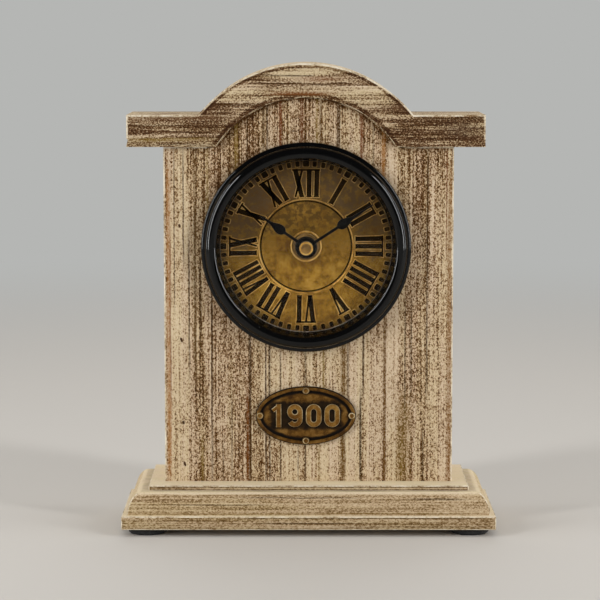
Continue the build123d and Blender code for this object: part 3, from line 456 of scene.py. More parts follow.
def dustAndGlintLine(name):
    # black edge with a pale speckled line along its lower half, partly dust and partly a painted highlight
    tree, shader = startMaterial(name, 0.4, sheen=0.2)
    grain = streak(tree, 0.8 * mm, 2, 0.6, 4.0)
    low = fade(tree, axes(tree)[2], dialMiddle.z - 25 * mm, dialMiddle.z - 35 * mm)
    share = product(tree, low, fade(tree, grain, 0.5, 0.6))
    colour = blend(tree, share, (7, 7, 7), (150, 146, 138))
    coat(tree, shader, colour, fade(tree, grain, 0.4, 0.6, 0.3, 0.6), grain, 0.05 * mm, 0.4)


def mattBlack(name):
    tree, shader = startMaterial(name, 0.5, sheen=0.08)
    dust = streak(tree, 0.9 * mm, 3, 0.6, 1.0)
    colour = ramp(tree, dust, [(0.35, (3, 3, 3)), (0.8, (12, 11, 9))])
    coat(tree, shader, colour, fade(tree, dust, 0.35, 0.7, 0.38, 0.6), dust, 0.02 * mm, 0.4)


def clearGlass(name):
    # lamps shine straight through, so what lies behind is lit as through thin glass
    tree, shader = startMaterial(name, 0.0)
    feed(tree, shader.inputs["Base Color"], (255, 255, 255))
    shader.inputs["Transmission Weight"].default_value = 1.0
    shader.inputs["IOR"].default_value = 1.15       # thin coated glass, hardly any mirror image
    clear = tree.nodes.new("ShaderNodeBsdfTransparent")
    path = tree.nodes.new("ShaderNodeLightPath")
    mixShaders(tree, path.outputs["Is Shadow Ray"], shader, clear)


def plainFinish(name, dark, light, rough, grain, metallic=0.0, sheen=0.4):
    tree, shader = startMaterial(name, rough, metallic, sheen)
    cloud = streak(tree, 6 * grain, 3, 0.6)
    grit = streak(tree, grain, 3, 0.6, 3)
    level = weigh(tree, cloud, 0.6, grit, 0.4)
    colour = ramp(tree, level, [(0.35, dark), (0.65, light)])
    roughness = fade(tree, level, 0.35, 0.65, rough + 0.08, rough - 0.08)
    coat(tree, shader, colour, roughness, grit, 0.03 * mm, 0.5)


def woundCopper(name):
    tree, shader = startMaterial(name, 0.35, 0.8)
    coords = tree.nodes.new("ShaderNodeTexCoord")
    wire = tree.nodes.new("ShaderNodeTexWave")
    wire.bands_direction = "X"
    wire.inputs["Scale"].default_value = 900.0
    tree.links.new(coords.outputs["Object"], wire.inputs["Vector"])
    colour = ramp(tree, wire.outputs[1], [(0.0, (96, 44, 20)), (1.0, (205, 122, 74))])
    coat(tree, shader, colour, 0.35, wire.outputs[1], 0.08 * mm, 0.8)


glossBlack("glossBlack")
dustAndGlintLine("dustAndGlintLine")
mattBlack("handBlack")
clearGlass("glass")
woundCopper("copper")
plainFinish("bareWood", (70, 44, 20), (104, 70, 38), 0.85, 0.6 * mm)
plainFinish("numeralBlack", (10, 6, 2), (38, 26, 10), 0.9, 1.5 * mm, sheen=0.03)
plainFinish("handEdge", (16, 14, 12), (70, 62, 50), 0.4, 0.5 * mm, sheen=0.2)
plainFinish("rubber", (18, 18, 18), (40, 39, 38), 0.75, 0.6 * mm)
plainFinish("blackPlastic", (24, 24, 25), (38, 38, 39), 0.5, 0.5 * mm)
plainFinish("nylon", (214, 212, 204), (232, 230, 222), 0.42, 1.0 * mm)
plainFinish("zinc", (142, 144, 146), (198, 200, 202), 0.34, 0.9 * mm, 1.0)
plainFinish("magnet", (52, 52, 56), (78, 78, 82), 0.4, 0.8 * mm, 0.7)
plainFinish("greenBoard", (16, 74, 40), (32, 104, 58), 0.4, 1.2 * mm)
plainFinish("jacket", (26, 27, 30), (40, 41, 45), 0.28, 1.5 * mm)

slotFinish = {
    "whitewashed_wood": "panelWood", "worn_brown_wood": "crownWood", "plain_board": "plainBoard",
    "black_rubber": "rubber", "zinc_steel": "zinc", "aged_brass": "rimBrass", "black_enamel": "glossBlack",
    "black_hand": "handBlack", "clear_glass": "glass", "black_plastic": "blackPlastic",
    "white_nylon": "nylon", "grey_magnet": "magnet", "copper_wire": "copper", "green_board": "greenBoard",
    "battery_jacket": "jacket",
}
for node in nodes.values():
    for place in node.material_slots:
        place.material = finishes[slotFinish[place.material.name]]
print("materials made:", len(finishes))


def only(items, kind):
    return [item for item in items if isinstance(item, kind)]


def weld(bm):
    bmesh.ops.remove_doubles(bm, verts=bm.verts, dist=0.002 * mm)


def faceOutwards(bm):
    bmesh.ops.recalc_face_normals(bm, faces=bm.faces)


def moveBy(bm, verts, vec):
    bmesh.ops.translate(bm, verts=verts, vec=vec)


def turnBy(bm, verts, angle, axis="Y"):
    bmesh.ops.rotate(bm, verts=verts, cent=(0, 0, 0), matrix=Matrix.Rotation(angle, 3, axis))


def joinTo(bm, part):
    mesh = bpy.data.meshes.new("part")
    part.to_mesh(mesh)
    part.free()
    bm.from_mesh(mesh)


def looseObject(name, bm, materials):
    # merging leaves the elements in a chance order, which would change what a boolean makes of them
    lean = Vector((0.53, 0.62, 0.58))
    bm.verts.sort(key=lambda vert: vert.co.dot(lean))
    bm.edges.sort(key=lambda edge: (edge.verts[0].co + edge.verts[1].co).dot(lean))
    bm.faces.sort(key=lambda face: face.calc_center_median().dot(lean))
    mesh = bpy.data.meshes.new(name)
    bm.to_mesh(mesh)
    bm.free()
    for material in materials:
        mesh.materials.append(finishes[material])
    piece = bpy.data.objects.new(name, mesh)
    bpy.context.scene.collection.objects.link(piece)
    return piece


def smoothFaces(piece, angle):
    piece.data.polygons.foreach_set("use_smooth", [True] * len(piece.data.polygons))
    piece.data.set_sharp_from_angle(angle=math.radians(angle))


def finishPiece(name, bm, materials, body, replaced=(), smooth=35):
    weld(bm)
    faceOutwards(bm)
    piece = looseObject(name, bm, materials)
    smoothFaces(piece, smooth)
    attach(piece, body)
    if replaced:
        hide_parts(*replaced)
    return piece


def applyBoolean(piece, other, operation, selfCross=False):
    change = piece.modifiers.new("boolean", "BOOLEAN")
    change.object = other
    change.operation = operation
    change.solver = "EXACT"
    change.use_self = selfCross
    change.material_mode = "TRANSFER"
    bpy.context.view_layer.update()
    evaluated = piece.evaluated_get(bpy.context.evaluated_depsgraph_get())
    made = bpy.data.meshes.new_from_object(evaluated)
    piece.modifiers.clear()
    piece.data = made
    bpy.data.objects.remove(other)


def lineTo(bm, vert, x, y, z):
    made = bmesh.ops.extrude_vert_indiv(bm, verts=[vert])["verts"][0]
    made.co = (x, y, z)
    return made


def archTo(bm, vert, half, foot, top, steps, way=1):
    # an arch over archMiddle from its foot up to its top and down again, clockwise from the front
    radius = archRadius(half, top - foot)
    made = bmesh.ops.spin(bm, geom=[vert], cent=(archMiddle, vert.co.y, top - radius), axis=(0, 1, 0),
                          angle=way * 2 * math.asin(half / radius), steps=steps)
    return only(made["geom_last"], BMVert)[0]


def divideLong(bm, longest):
    for edge in list(bm.edges):
        cuts = int(edge.calc_length() / longest)
        if cuts:
            bmesh.ops.subdivide_edges(bm, edges=[edge], cuts=cuts)


def makeBoard(bm, last, first, depth):
    # closes the outline and thickens it, with long edges divided so that wear can shape them
    bm.edges.new((last, first))
    face = bmesh.ops.contextual_create(bm, geom=bm.edges[:])["faces"][0]
    divideLong(bm, 4 * mm)
    made = bmesh.ops.extrude_face_region(bm, geom=[face])["geom"]
    moveBy(bm, only(made, BMVert), (0, depth, 0))


def roundEdges(bm, edges, width, segments=2, material=-1):
    edges = [edge for edge in edges if edge.is_valid]
    return bmesh.ops.bevel(bm, geom=edges, offset=width, segments=segments, profile=0.5,
                           affect="EDGES", clamp_overlap=True, material=material)["faces"]


def turned(points, steps, centre):
    # a ring spun about an axis along Y from points of (radius, y)
    bm = bmesh.new()
    first = bm.verts.new((centre[0] + points[0][0], points[0][1], centre[2]))
    last = first
    for radius, y in points[1:]:
        last = lineTo(bm, last, centre[0] + radius, y, centre[2])
    if points[0][0] > 1e-7 and points[-1][0] > 1e-7:
        bm.edges.new((last, first))
    bmesh.ops.spin(bm, geom=bm.verts[:] + bm.edges[:], cent=(centre[0], 0, centre[2]), axis=(0, 1, 0),
                   angle=math.tau, steps=steps, use_merge=True)
    weld(bm)
    return bm


def curvePoints(centre, radii, start, end, steps):
    # points of an ellipse arc in (radius, y), angles in degrees
    points = []
    for step in range(steps + 1):
        angle = math.radians(start + (end - start) * step / steps)
        points.append((centre[0] + radii[0] * math.cos(angle), centre[1] + radii[1] * math.sin(angle)))
    return points


def markFaces(bm, choose, centre=dialMiddle):
    # gives each face the material that choose picks from its reach from the centre and its y
    for face in bm.faces:
        middle = face.calc_center_median()
        face.material_index = choose(math.hypot(middle.x - centre.x, middle.z - centre.z), middle.y)


def lies(edge, axis, level):
    return all(abs(getattr(vert.co, axis) - level) < 1e-6 for vert in edge.verts)


def sharpEdges(bm, angle):
    bm.normal_update()
    return [edge for edge in bm.edges if edge.is_manifold and edge.calc_face_angle(0) > math.radians(angle)]


def wearEdges(bm, frontLevel, amount):
    # shifts the rounded front edge a little in the plane of the face, as years of handling do
    for vert in bm.verts:
        if abs(vert.co.y - frontLevel) < 0.01 * mm:
            push = noise.noise_vector(vert.co * 260) * amount
            vert.co.x += push.x
            vert.co.z += push.z


def ownShape(nodeName):
    # a copy of the CAD node's shape, its triangles joined to whole faces
    bm = bmesh.new()
    bm.from_mesh(nodes[nodeName].data)
    weld(bm)
    bmesh.ops.dissolve_limit(bm, angle_limit=math.radians(0.4), verts=bm.verts, edges=bm.edges)
    return bm


def softCopy(name, nodeName, materials, body, width):
    # the node's own shape with its sharp edges rounded; a second material goes on the rounds
    bm = ownShape(nodeName)
    roundEdges(bm, sharpEdges(bm, 30), width, 2, len(materials) - 1)
    return finishPiece(name, bm, materials, body, [nodeName], 40)


panelCase = {
    "edge": 0.6 * mm, "archEdge": 0.4 * mm, "archSteps": 40, "hole": 43.3 * mm, "wear": 0.06 * mm,
    "dents": [(-57.0, 135.0), (-56.4, 84.2), (-55.7, 47.1), (-55.2, 28.4)], "scratch": (-6.6, 176.8),
}


def frontPanel(look):
    low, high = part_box("front_panel")
    bm = bmesh.new()
    start = bm.verts.new((low.x, low.y, low.z))
    last = lineTo(bm, start, low.x, low.y, shoulder)
    last = lineTo(bm, last, archMiddle - archHalf, low.y, shoulder)
    last = archTo(bm, last, archHalf, shoulder, high.z, look["archSteps"])
    last = lineTo(bm, last, high.x, low.y, shoulder)
    last = lineTo(bm, last, high.x, low.y, low.z)
    makeBoard(bm, last, start, high.y - low.y)
    front = [edge for edge in bm.edges if lies(edge, "y", low.y) and not lies(edge, "z", low.z)]
    arch = [edge for edge in front if max(v.co.z for v in edge.verts) > shoulder + 0.01 * mm]
    sides = [edge for edge in front if edge not in arch]
    roundEdges(bm, arch, look["archEdge"], 2, 3)
    roundEdges(bm, sides, look["edge"], 2, 1)
    wearEdges(bm, low.y, look["wear"])
    return finishPiece("front_panel_board", bm, ["panelWood", "paleEdge", "bareWood", "wornEdge"], "case",
                       ["front_panel"])


def cutRound(piece, radius, depths):
    # bores a round hole along Y through a finished board
    bm = turned([(0, depths[0]), (radius, depths[0]), (radius, depths[1]), (0, depths[1])], 96, dialMiddle)
    faceOutwards(bm)
    applyBoolean(piece, looseObject("bore", bm, ["panelWood"]), "DIFFERENCE")


def cutDents(piece, look):
    # small worm holes and one scratch in the face of the board
    bm = bmesh.new()
    for index, (x, z) in enumerate(look["dents"] + [look["scratch"]]):
        made = bmesh.ops.create_icosphere(bm, subdivisions=2, radius=1.0)["verts"]
        if index < len(look["dents"]):
            bmesh.ops.scale(bm, verts=made, vec=(0.55 * mm, 0.5 * mm, (0.9 + 0.3 * (index % 2)) * mm))
            turnBy(bm, made, -0.35)
        else:
            bmesh.ops.scale(bm, verts=made, vec=(1.7 * mm, 0.35 * mm, 0.28 * mm))
        moveBy(bm, made, (x * mm, panelFace, z * mm))
    applyBoolean(piece, looseObject("dents", bm, ["bareWood"]), "DIFFERENCE")


panel = frontPanel(panelCase)
cutRound(panel, panelCase["hole"], (-20 * mm, 20 * mm))
cutDents(panel, panelCase)
smoothFaces(panel, 35)
print("front panel:", len(panel.data.polygons), "faces")

crownCase = {"edge": 0.7 * mm, "inner": 0.25 * mm, "gap": 0.1 * mm, "steps": 48, "wear": 0.2 * mm}


def crownBoard(look):
    low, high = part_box("crown")
    y = low.y
    innerTop = panelTop + look["gap"]
    innerRadius = archRadius(archHalf, innerTop - low.z)
    bm = bmesh.new()
    start = bm.verts.new((low.x, y, low.z))
    last = lineTo(bm, start, low.x, y, wingTop)
    last = lineTo(bm, last, archMiddle - crownHalf, y, wingTop)
    last = archTo(bm, last, crownHalf, wingTop, high.z, look["steps"])
    last = lineTo(bm, last, high.x, y, wingTop)
    last = lineTo(bm, last, high.x, y, low.z)
    last = lineTo(bm, last, archMiddle + archHalf, y, low.z)
    last = archTo(bm, last, archHalf, low.z, innerTop, look["steps"], -1)
    makeBoard(bm, last, start, high.y - low.y)
    wide, narrow = [], []
    for edge in bm.edges:
        if lies(edge, "y", y):
            middle = (edge.verts[0].co + edge.verts[1].co) / 2
            reach = math.hypot(middle.x - archMiddle, middle.z - (innerTop - innerRadius))
            under = middle.z < low.z + 0.01 * mm or reach < innerRadius + 0.1 * mm
            (narrow if under else wide).append(edge)
    roundEdges(bm, narrow, look["inner"], 2, 2)
    roundEdges(bm, wide, look["edge"], 3, 1)
    wearEdges(bm, y, look["wear"])
    return finishPiece("crown_board", bm, ["crownWood", "paleEdge", "wornEdge"], "case",
                       ["crown"])


crownBoard(crownCase)
print("crown done")

plinthCase = {
    "fascia": 6.0 * mm, "ledge": 2.4 * mm, "ovolo": (6.2 * mm, 9.6 * mm), "quirk": 2.8 * mm,
    "steps": 9, "edge": 0.45 * mm, "wear": 0.15 * mm,
}


def plinthBoard(look):
    low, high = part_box("plinth")
    bm = bmesh.new()
    # made twice as deep and cut in half, so that the flat back stays unmoulded
    halfWide = high.x
    halfDeep = high.y - low.y
    middle = Vector((0, high.y, 0))
    made = bmesh.ops.create_grid(bm, x_segments=1, y_segments=1, size=1.0)["verts"]
    bmesh.ops.scale(bm, verts=made, vec=(halfWide, halfDeep, 1))
    moveBy(bm, made, (0, high.y, low.z))
    divideLong(bm, 5 * mm)
    top = bm.faces[:]
    inset = 0.0

    def step(inwards, upwards):
        nonlocal top, inset
        raised = bmesh.ops.extrude_face_region(bm, geom=top)["geom"]
        bmesh.ops.delete(bm, geom=top, context="FACES_ONLY")
        top = only(raised, BMFace)
        before = (halfWide - inset, halfDeep - inset)
        inset += inwards
        after = (halfWide - inset, halfDeep - inset)
        for vert in only(raised, BMVert):
            vert.co.x *= after[0] / before[0]
            vert.co.y = middle.y + (vert.co.y - middle.y) * after[1] / before[1]
            vert.co.z += upwards

    bmesh.ops.duplicate(bm, geom=bm.faces[:])      # stays behind as the underside
    step(0, look["fascia"])
    step(look["ledge"], 0)
    width, height = look["ovolo"]
    for index in range(look["steps"]):
        a = math.pi / 2 * index / look["steps"]
        b = math.pi / 2 * (index + 1) / look["steps"]
        step(width * (math.cos(a) - math.cos(b)), height * (math.sin(b) - math.sin(a)))
    step(look["quirk"], 0)
    step(0, high.z - low.z - look["fascia"] - height)
    weld(bm)
    cut = bmesh.ops.bisect_plane(bm, geom=bm.verts[:] + bm.edges[:] + bm.faces[:], plane_co=middle,
                                 plane_no=(0, 1, 0), clear_outer=True, dist=0.001 * mm)["geom_cut"]
    bmesh.ops.contextual_create(bm, geom=only(cut, BMEdge))
    faceOutwards(bm)
    convex = [edge for edge in sharpEdges(bm, 40)
              if edge.is_convex and not all(v.co.y > high.y - 0.01 * mm for v in edge.verts)]
    roundEdges(bm, convex, look["edge"], 2, 1)
    for vert in bm.verts:
        if vert.co.y < high.y - mm and vert.co.z > low.z + mm:
            push = noise.noise_vector(vert.co * 200) * look["wear"]
            vert.co.z -= abs(push.z)
    return finishPiece("plinth_board", bm, ["plinthWood", "paleEdge"], "case",
                       ["plinth"], 30)


plinthBoard(plinthCase)
print("plinth done")


def sideBoard(side, width):
    node = "side_panel_" + side
    bm = ownShape(node)
    low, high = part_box(node)
    outer = low.x if side == "left" else high.x
    back = [edge for edge in sharpEdges(bm, 60) if lies(edge, "x", outer) and lies(edge, "y", high.y)]
    roundEdges(bm, back, width, 3, 1)
    return finishPiece("side_board_" + side, bm, ["sideWood", "paleEdge"], "case", [node])


for side in ("left", "right"):
    sideBoard(side, 0.8 * mm)
print("sides done")


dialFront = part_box("dial")[0].y
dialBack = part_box("dial")[1].y
bezelCase = {
    "outer": 46.4 * mm, "bead": 1.1 * mm, "ledge": 0.4 * mm, "crest": 41.7 * mm, "lip": 39.4 * mm,
    "step": 3.9 * mm, "lipThickness": 1.0 * mm, "seat": 2.5 * mm, "cup": (42.6 * mm, 41.1 * mm), "steps": 160,
}


def bezelRing(look):
    low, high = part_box("bezel")
    front, seat, step = low.y, low.y + look["seat"], low.y + look["step"]
    bead = look["outer"] - look["bead"]
    ledge = bead - look["ledge"]
    lipFront = seat - look["lipThickness"]
    outerCup, innerCup = look["cup"]
    points = [(innerCup, high.y), (outerCup, high.y), (outerCup, panelFace), (look["outer"], panelFace)]
    points += curvePoints((bead, step + look["bead"]), (look["bead"], look["bead"]), 0, -90, 6)
    points += curvePoints((look["crest"], step), (ledge - look["crest"], look["step"]), 0, -90, 14)
    points += curvePoints((look["crest"], lipFront), (look["crest"] - look["lip"], lipFront - front),
                          -90, -180, 10)[1:]
    points += [(look["lip"], seat), (innerCup, seat)]
    bm = turned(points, look["steps"], dialMiddle)
    return finishPiece("bezel_ring", bm, ["glossBlack"], "case", ["bezel"], 50)


def lensDome(look):
    low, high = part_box("lens")
    seat = high.y - look["thickness"]
    radius = archRadius(look["dome"], seat - low.y)
    sweep = math.degrees(math.asin(look["dome"] / radius))
    outer = curvePoints((0, low.y + radius), (radius, radius), -90, -90 + sweep, 20)
    inner = [(r, y + look["thickness"]) for r, y in reversed(outer)]
    points = outer + [(look["rim"], seat), (look["rim"], high.y)] + inner
    points[0] = (0, points[0][1])
    points[-1] = (0, points[-1][1])
    bm = turned(points, look["steps"], dialMiddle)
    return finishPiece("lens_glass", bm, ["glass"], "case", ["lens"], 60)


def coneRing(look):
    low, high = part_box("spacer_ring")
    foot = high.y - 0.3 * mm
    # dust is the share of the slope that carries the pale speckled band, partly dust and partly a painted
    # highlight
    dustAndGlintReach = look["sight"] + look["dust"] * (look["mouth"] - look["sight"])
    points = [
        (look["mouth"], low.y), (look["rim"], low.y), (look["rim"], high.y),
        (look["sight"] + 0.25 * mm, high.y), (look["sight"], foot),
        (dustAndGlintReach, foot - look["dust"] * (foot - low.y)),
    ]
    bm = turned(points, look["steps"], dialMiddle)
    # the sloped band by the sight edge takes the speckled finish: dust and painted highlight
    markFaces(bm, lambda reach, y: 1 if y < foot and reach < dustAndGlintReach else 0)
    return finishPiece("cone_ring", bm, ["glossBlack", "dustAndGlintLine"], "case",
                       ["spacer_ring"], 30)


bezelRing(bezelCase)
lensDome({"thickness": 1.6 * mm, "dome": 39.1 * mm, "rim": 41.0 * mm, "steps": 128})
coneRing({"mouth": 39.4 * mm, "rim": 41.0 * mm, "sight": 38.0 * mm, "dust": 0.14, "steps": 160})
print("bezel, lens and ring done")

dialLook = {
    "outer": 41.0 * mm, "bore": 3.9 * mm, "groove": (19.75 * mm, 20.4 * mm), "grooveDepth": 0.35 * mm,
    "feet": 21.8 * mm, "tops": 34.2 * mm, "widest": 11.9 * mm, "taper": 0.93,
    "stroke": 2.2 * mm, "hairline": 0.95 * mm, "serif": 0.8 * mm, "pitch": 3.5 * mm, "letter": 6.3 * mm,
    "overhang": 0.2 * mm, "footSerif": 0.5 * mm, "corner": 0.45 * mm,
    "ridge": 0.4 * mm, "ridgeHeight": 0.2 * mm, "recess": 0.3 * mm,
    "minute": (36.6 * mm, 1.75 * mm, 2.4 * mm), "hour": (36.6 * mm, 2.7 * mm, 2.6 * mm),
}
numerals = ["XII", "I", "II", "III", "IIII", "V", "VI", "VII", "VIII", "IX", "X", "XI"]


def addBar(bm, start, end, width, grow, yFront, yBack, slope=0.0, rounded=0.0):
    # one bar from start to end in (across, outwards), its front face narrower by slope
    a, b = Vector(start), Vector(end)
    length = (b - a).length + 2 * grow
    made = bmesh.ops.create_cube(bm, size=1.0)["verts"]
    bmesh.ops.scale(bm, verts=made, vec=(width + 2 * grow, yBack - yFront, length))
    moveBy(bm, made, (0, (yFront + yBack) / 2, 0))
    for vert in made:
        if vert.co.y < (yFront + yBack) / 2:
            vert.co.x -= math.copysign(slope, vert.co.x)
            vert.co.z -= math.copysign(slope, vert.co.z)
    if rounded:
        # dict.fromkeys drops repeats and keeps the order, so every run gives the same mesh
        edges = dict.fromkeys(edge for vert in made for edge in vert.link_edges
                              if abs(edge.verts[0].co.y - edge.verts[1].co.y) > 0.5 * (yBack - yFront))
        rounds = [v for face in roundEdges(bm, edges, rounded) for v in face.verts]
        made = list(dict.fromkeys(rounds + [v for v in made if v.is_valid]))
    middle = (a + b) / 2
    turnBy(bm, made, math.atan2(b.x - a.x, b.y - a.y))
    moveBy(bm, made, (middle.x, 0, middle.y))
    return made


def letterBars(numeral, look):
    # bars of one numeral as (start, end, width) in (across, outwards), serifs among them
    advance = {"I": look["pitch"], "V": look["letter"], "X": look["letter"]}
    stroke, thin, serif, overhang = look["stroke"], look["hairline"], look["serif"], look["overhang"]
    margin = look["pitch"] - stroke
    natural = sum(advance[letter] for letter in numeral) - margin
    squeeze = min(1.0, look["widest"] / natural)
    feet, tops = look["feet"], look["tops"]
    sole = feet + look["footSerif"] / 2
    bars = []
    x = -natural / 2 - margin / 2
    for letter in numeral:
        wide = advance[letter]
        left = x + margin / 2 + stroke / 2
        right = x + wide - margin / 2 - stroke / 2
        middle = x + wide / 2
        if letter == "I":
            bars.append(((middle, feet), (middle, tops), stroke))
            ends = middle - stroke / 2 - overhang, middle + stroke / 2 + overhang
            bars.append(((ends[0], sole), (ends[1], sole), look["footSerif"]))
        if letter == "V":
            bars.append(((middle - 0.1 * mm, feet), (left, tops), stroke))
            bars.append(((middle + 0.3 * mm, feet), (right + 0.4 * mm, tops), thin))
        if letter == "X":
            bars.append(((right + 0.1 * mm, feet), (left, tops), stroke))
            bars.append(((left - 0.2 * mm, feet), (right + 0.4 * mm, tops), thin))
            bars.append(((right - mm, sole), (right + 1.1 * mm, sole), look["footSerif"]))
        x += wide
    reach = natural / 2 + overhang
    bars.append(((-reach, tops - serif / 2), (reach, tops - serif / 2), serif))
    return [(Vector((a[0] * squeeze, a[1])), Vector((b[0] * squeeze, b[1])), w * (0.5 + 0.5 * squeeze))
            for a, b, w in bars]


def dialMarks(look, grow, yFront, yBack, slope):
    # every numeral and minute mark as loose solids, to be raised from or cut into the dial
    bm = bmesh.new()
    for hour, numeral in enumerate(numerals):
        made = []
        for start, end, width in letterBars(numeral, look):
            made += addBar(bm, start, end, width, grow, yFront, yBack, slope)
        for vert in made:
            height = (vert.co.z - look["feet"]) / (look["tops"] - look["feet"])
            vert.co.x *= look["taper"] + (1 - look["taper"]) * height
        turnBy(bm, made, math.tau * hour / 12)
    for minute in range(60):
        middle, wide, tall = look["hour"] if minute % 5 == 0 else look["minute"]
        made = addBar(bm, (0, middle - tall / 2), (0, middle + tall / 2), wide, grow, yFront, yBack, slope,
                      look["corner"])
        turnBy(bm, made, math.tau * minute / 60)
    moveBy(bm, bm.verts, (dialMiddle.x, 0, dialMiddle.z))
    faceOutwards(bm)
    return bm


def embossedDial(look):
    inner, outer = look["groove"]
    crest = dialFront - look["ridgeHeight"]
    bed = dialFront + look["grooveDepth"]
    points = [
        (look["outer"], dialBack), (look["outer"], dialFront), (outer + 0.75 * mm, dialFront),
        (outer + 0.6 * mm, crest), (outer + 0.35 * mm, crest), (outer + 0.2 * mm, dialFront),
        (outer, dialFront), (outer, bed), (inner, bed), (inner, dialFront),
        (look["bore"], dialFront), (look["bore"], dialBack),
    ]
    bm = turned(points, 144, dialMiddle)
    faceOutwards(bm)

    def finishAt(reach, y):
        if y < dialFront - 0.01 * mm:
            return 2
        inGroove = inner - 0.1 * mm < reach < outer + 0.1 * mm
        return 1 if inGroove and dialFront + 0.01 * mm < y < dialFront + 0.5 * mm else 0

    markFaces(bm, finishAt)
    dial = looseObject("dial_embossed", bm, ["dialBrass", "numeralBlack", "rimBrass"])
    # the raised rims take the paler rim brass, partly their own brighter metal and partly a painted highlight
    ridges = dialMarks(look, look["ridge"], crest, dialFront + 0.1 * mm, 0.16 * mm)
    applyBoolean(dial, looseObject("ridges", ridges, ["rimBrass"]), "UNION", True)
    cuts = dialMarks(look, 0, crest - 0.1 * mm, dialFront + look["recess"], 0)
    applyBoolean(dial, looseObject("cuts", cuts, ["numeralBlack"]), "DIFFERENCE", True)
    dial.data.name = "dial_embossed"
    smoothFaces(dial, 25)
    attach(dial, "case")
    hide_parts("dial")
    return dial


dial = embossedDial(dialLook)
print("dial:", len(dial.data.polygons), "faces")


def rimmedWasher(look):
    low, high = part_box("dial_washer")
    rim = (high.x - low.x) / 2
    edge = low.y + look["rise"]
    points = [(look["bore"], high.y), (rim, high.y), (rim, edge)]
    points += curvePoints((rim - look["bead"], edge), (look["bead"], look["rise"]), -20, -180, 8)
    points += [(look["bore"], low.y + 0.3 * mm)]
    bm = turned(points, 96, (low + high) / 2)
    # painted highlight: the rounded outer rim takes the paler rim brass
    markFaces(bm, lambda reach, y: 1 if reach > rim - 1.8 * look["bead"] else 0, (low + high) / 2)
    return finishPiece("washer_brass", bm, ["capFace", "rimBrass"], "case",
                       ["dial_washer"], 50)


def domedCap(look):
    low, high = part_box("hand_cap")
    rim = (high.x - low.x) / 2
    bead = rim - look["ring"]
    points = [(0, low.y + look["dish"]), (bead - 0.15 * mm, low.y + look["dish"])]
    points += curvePoints((bead, low.y + 0.4 * mm), (look["ring"], 0.4 * mm), -105, 0, 8)
    points += [(rim, high.y), (look["bore"], high.y), (look["bore"], low.y + mm), (0, low.y + mm)]
    bm = turned(points, 64, (low + high) / 2)
    # painted highlight: the rounded ring takes the paler rim brass
    markFaces(bm, lambda reach, y: 1 if reach > bead - 0.1 * mm and y < high.y - 2 * mm else 0)
    return finishPiece("cap_brass", bm, ["capFace", "rimBrass"], "minute_shaft",
                       ["hand_cap"], 50)


# the hands' rounded edges take a lighter grey finish as a painted highlight
handFinish = ["handBlack", "handEdge"]
rimmedWasher({"bore": 4.2 * mm, "bead": 0.42 * mm, "rise": 0.25 * mm})
softCopy("nut_brass", "mounting_nut", ["capFace"], "case", 0.15 * mm)
softCopy("hour_hand_black", "hour_hand", handFinish, "hour_shaft", 0.09 * mm)
softCopy("minute_hand_black", "minute_hand", handFinish, "minute_shaft", 0.07 * mm)
domedCap({"ring": 0.62 * mm, "bore": 0.75 * mm, "dish": 0.14 * mm})
print("hands done")


plateLook = {
    "steps": 128, "tall": 10.4 * mm, "stroke": 2.35 * mm, "bowl": 2.3 * mm, "flag": 3.6 * mm,
    "chamfer": 0.3 * mm, "numberDepth": 0.7 * mm, "fieldDepth": 0.8 * mm,
}


def ovalPlate(look):
    low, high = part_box("year_plate")
    halfWide, halfTall = (high.x - low.x) / 2, (high.z - low.z) / 2
    centre = Vector(((low.x + high.x) / 2, 0, (low.z + high.z) / 2))
    bm = bmesh.new()
    ring = bmesh.ops.create_circle(bm, cap_ends=True, radius=1.0, segments=look["steps"])["verts"]
    turnBy(bm, ring, math.pi / 2, "X")
    bmesh.ops.scale(bm, verts=ring, vec=(halfWide, 1, halfTall))
    moveBy(bm, ring, (0, high.y, 0))
    grimeAndShadow = bm.verts.layers.float.new("grimeAndShadow")
    [face] = bm.faces
    face.copy()      # stays behind as the plate's back
    field = look["fieldDepth"] / mm
    levels = [      # distance in from the edge and depth, both in mm, then grime and painted shadow
        (0.0, 0.4, 1.0), (0.3, 0.12, 0.9), (0.42, 0.0, 0.0), (1.35, 0.0, 0.0), (1.65, 0.15, 0.1),
        (1.85, 0.5, 0.5), (2.05, field, 1.0), (2.9, field, 0.7), (3.9, field - 0.03, 0.2),
        (7.0, field - 0.08, 0.2),
    ]
    inset = 0.0
    for offset, depth, dirtAndShadow in levels:
        raised = bmesh.ops.extrude_face_region(bm, geom=[face])["geom"]
        bmesh.ops.delete(bm, geom=[face], context="FACES_ONLY")
        face = only(raised, BMFace)[0]
        for vert in face.verts:
            vert.co.x *= (halfWide - offset * mm) / (halfWide - inset)
            vert.co.z *= (halfTall - offset * mm) / (halfTall - inset)
            vert.co.y = low.y + depth * mm
            vert[grimeAndShadow] = dirtAndShadow
        inset = offset * mm
    bmesh.ops.poke(bm, faces=[face])
    moveBy(bm, bm.verts, centre)
    return finishPiece("oval_plate", bm, ["plateBrass"], "case", ["year_plate"], 50)


def penProfile(bm, x, z, look):
    # cross-section of a stroke that starts upwards at x, z
    half, cut = look["stroke"] / 2, look["chamfer"]
    top, back = -look["numberDepth"], 0
    first = bm.verts.new((x - half, back, z))
    last = first
    section = [(-half, top + cut), (cut - half, top), (half - cut, top), (half, top + cut), (half, back)]
    for across, y in section:
        last = lineTo(bm, last, x + across, y, z)
    bm.edges.new((last, first))
    return bm.verts[:], bm.edges[:]


def penMove(bm, section, dx, dz):
    made = bmesh.ops.extrude_edge_only(bm, edges=section[1])["geom"]
    verts = only(made, BMVert)
    ends = [edge for edge in only(made, BMEdge) if all(v in verts for v in edge.verts)]
    moveBy(bm, verts, (dx, 0, dz))
    return verts, ends


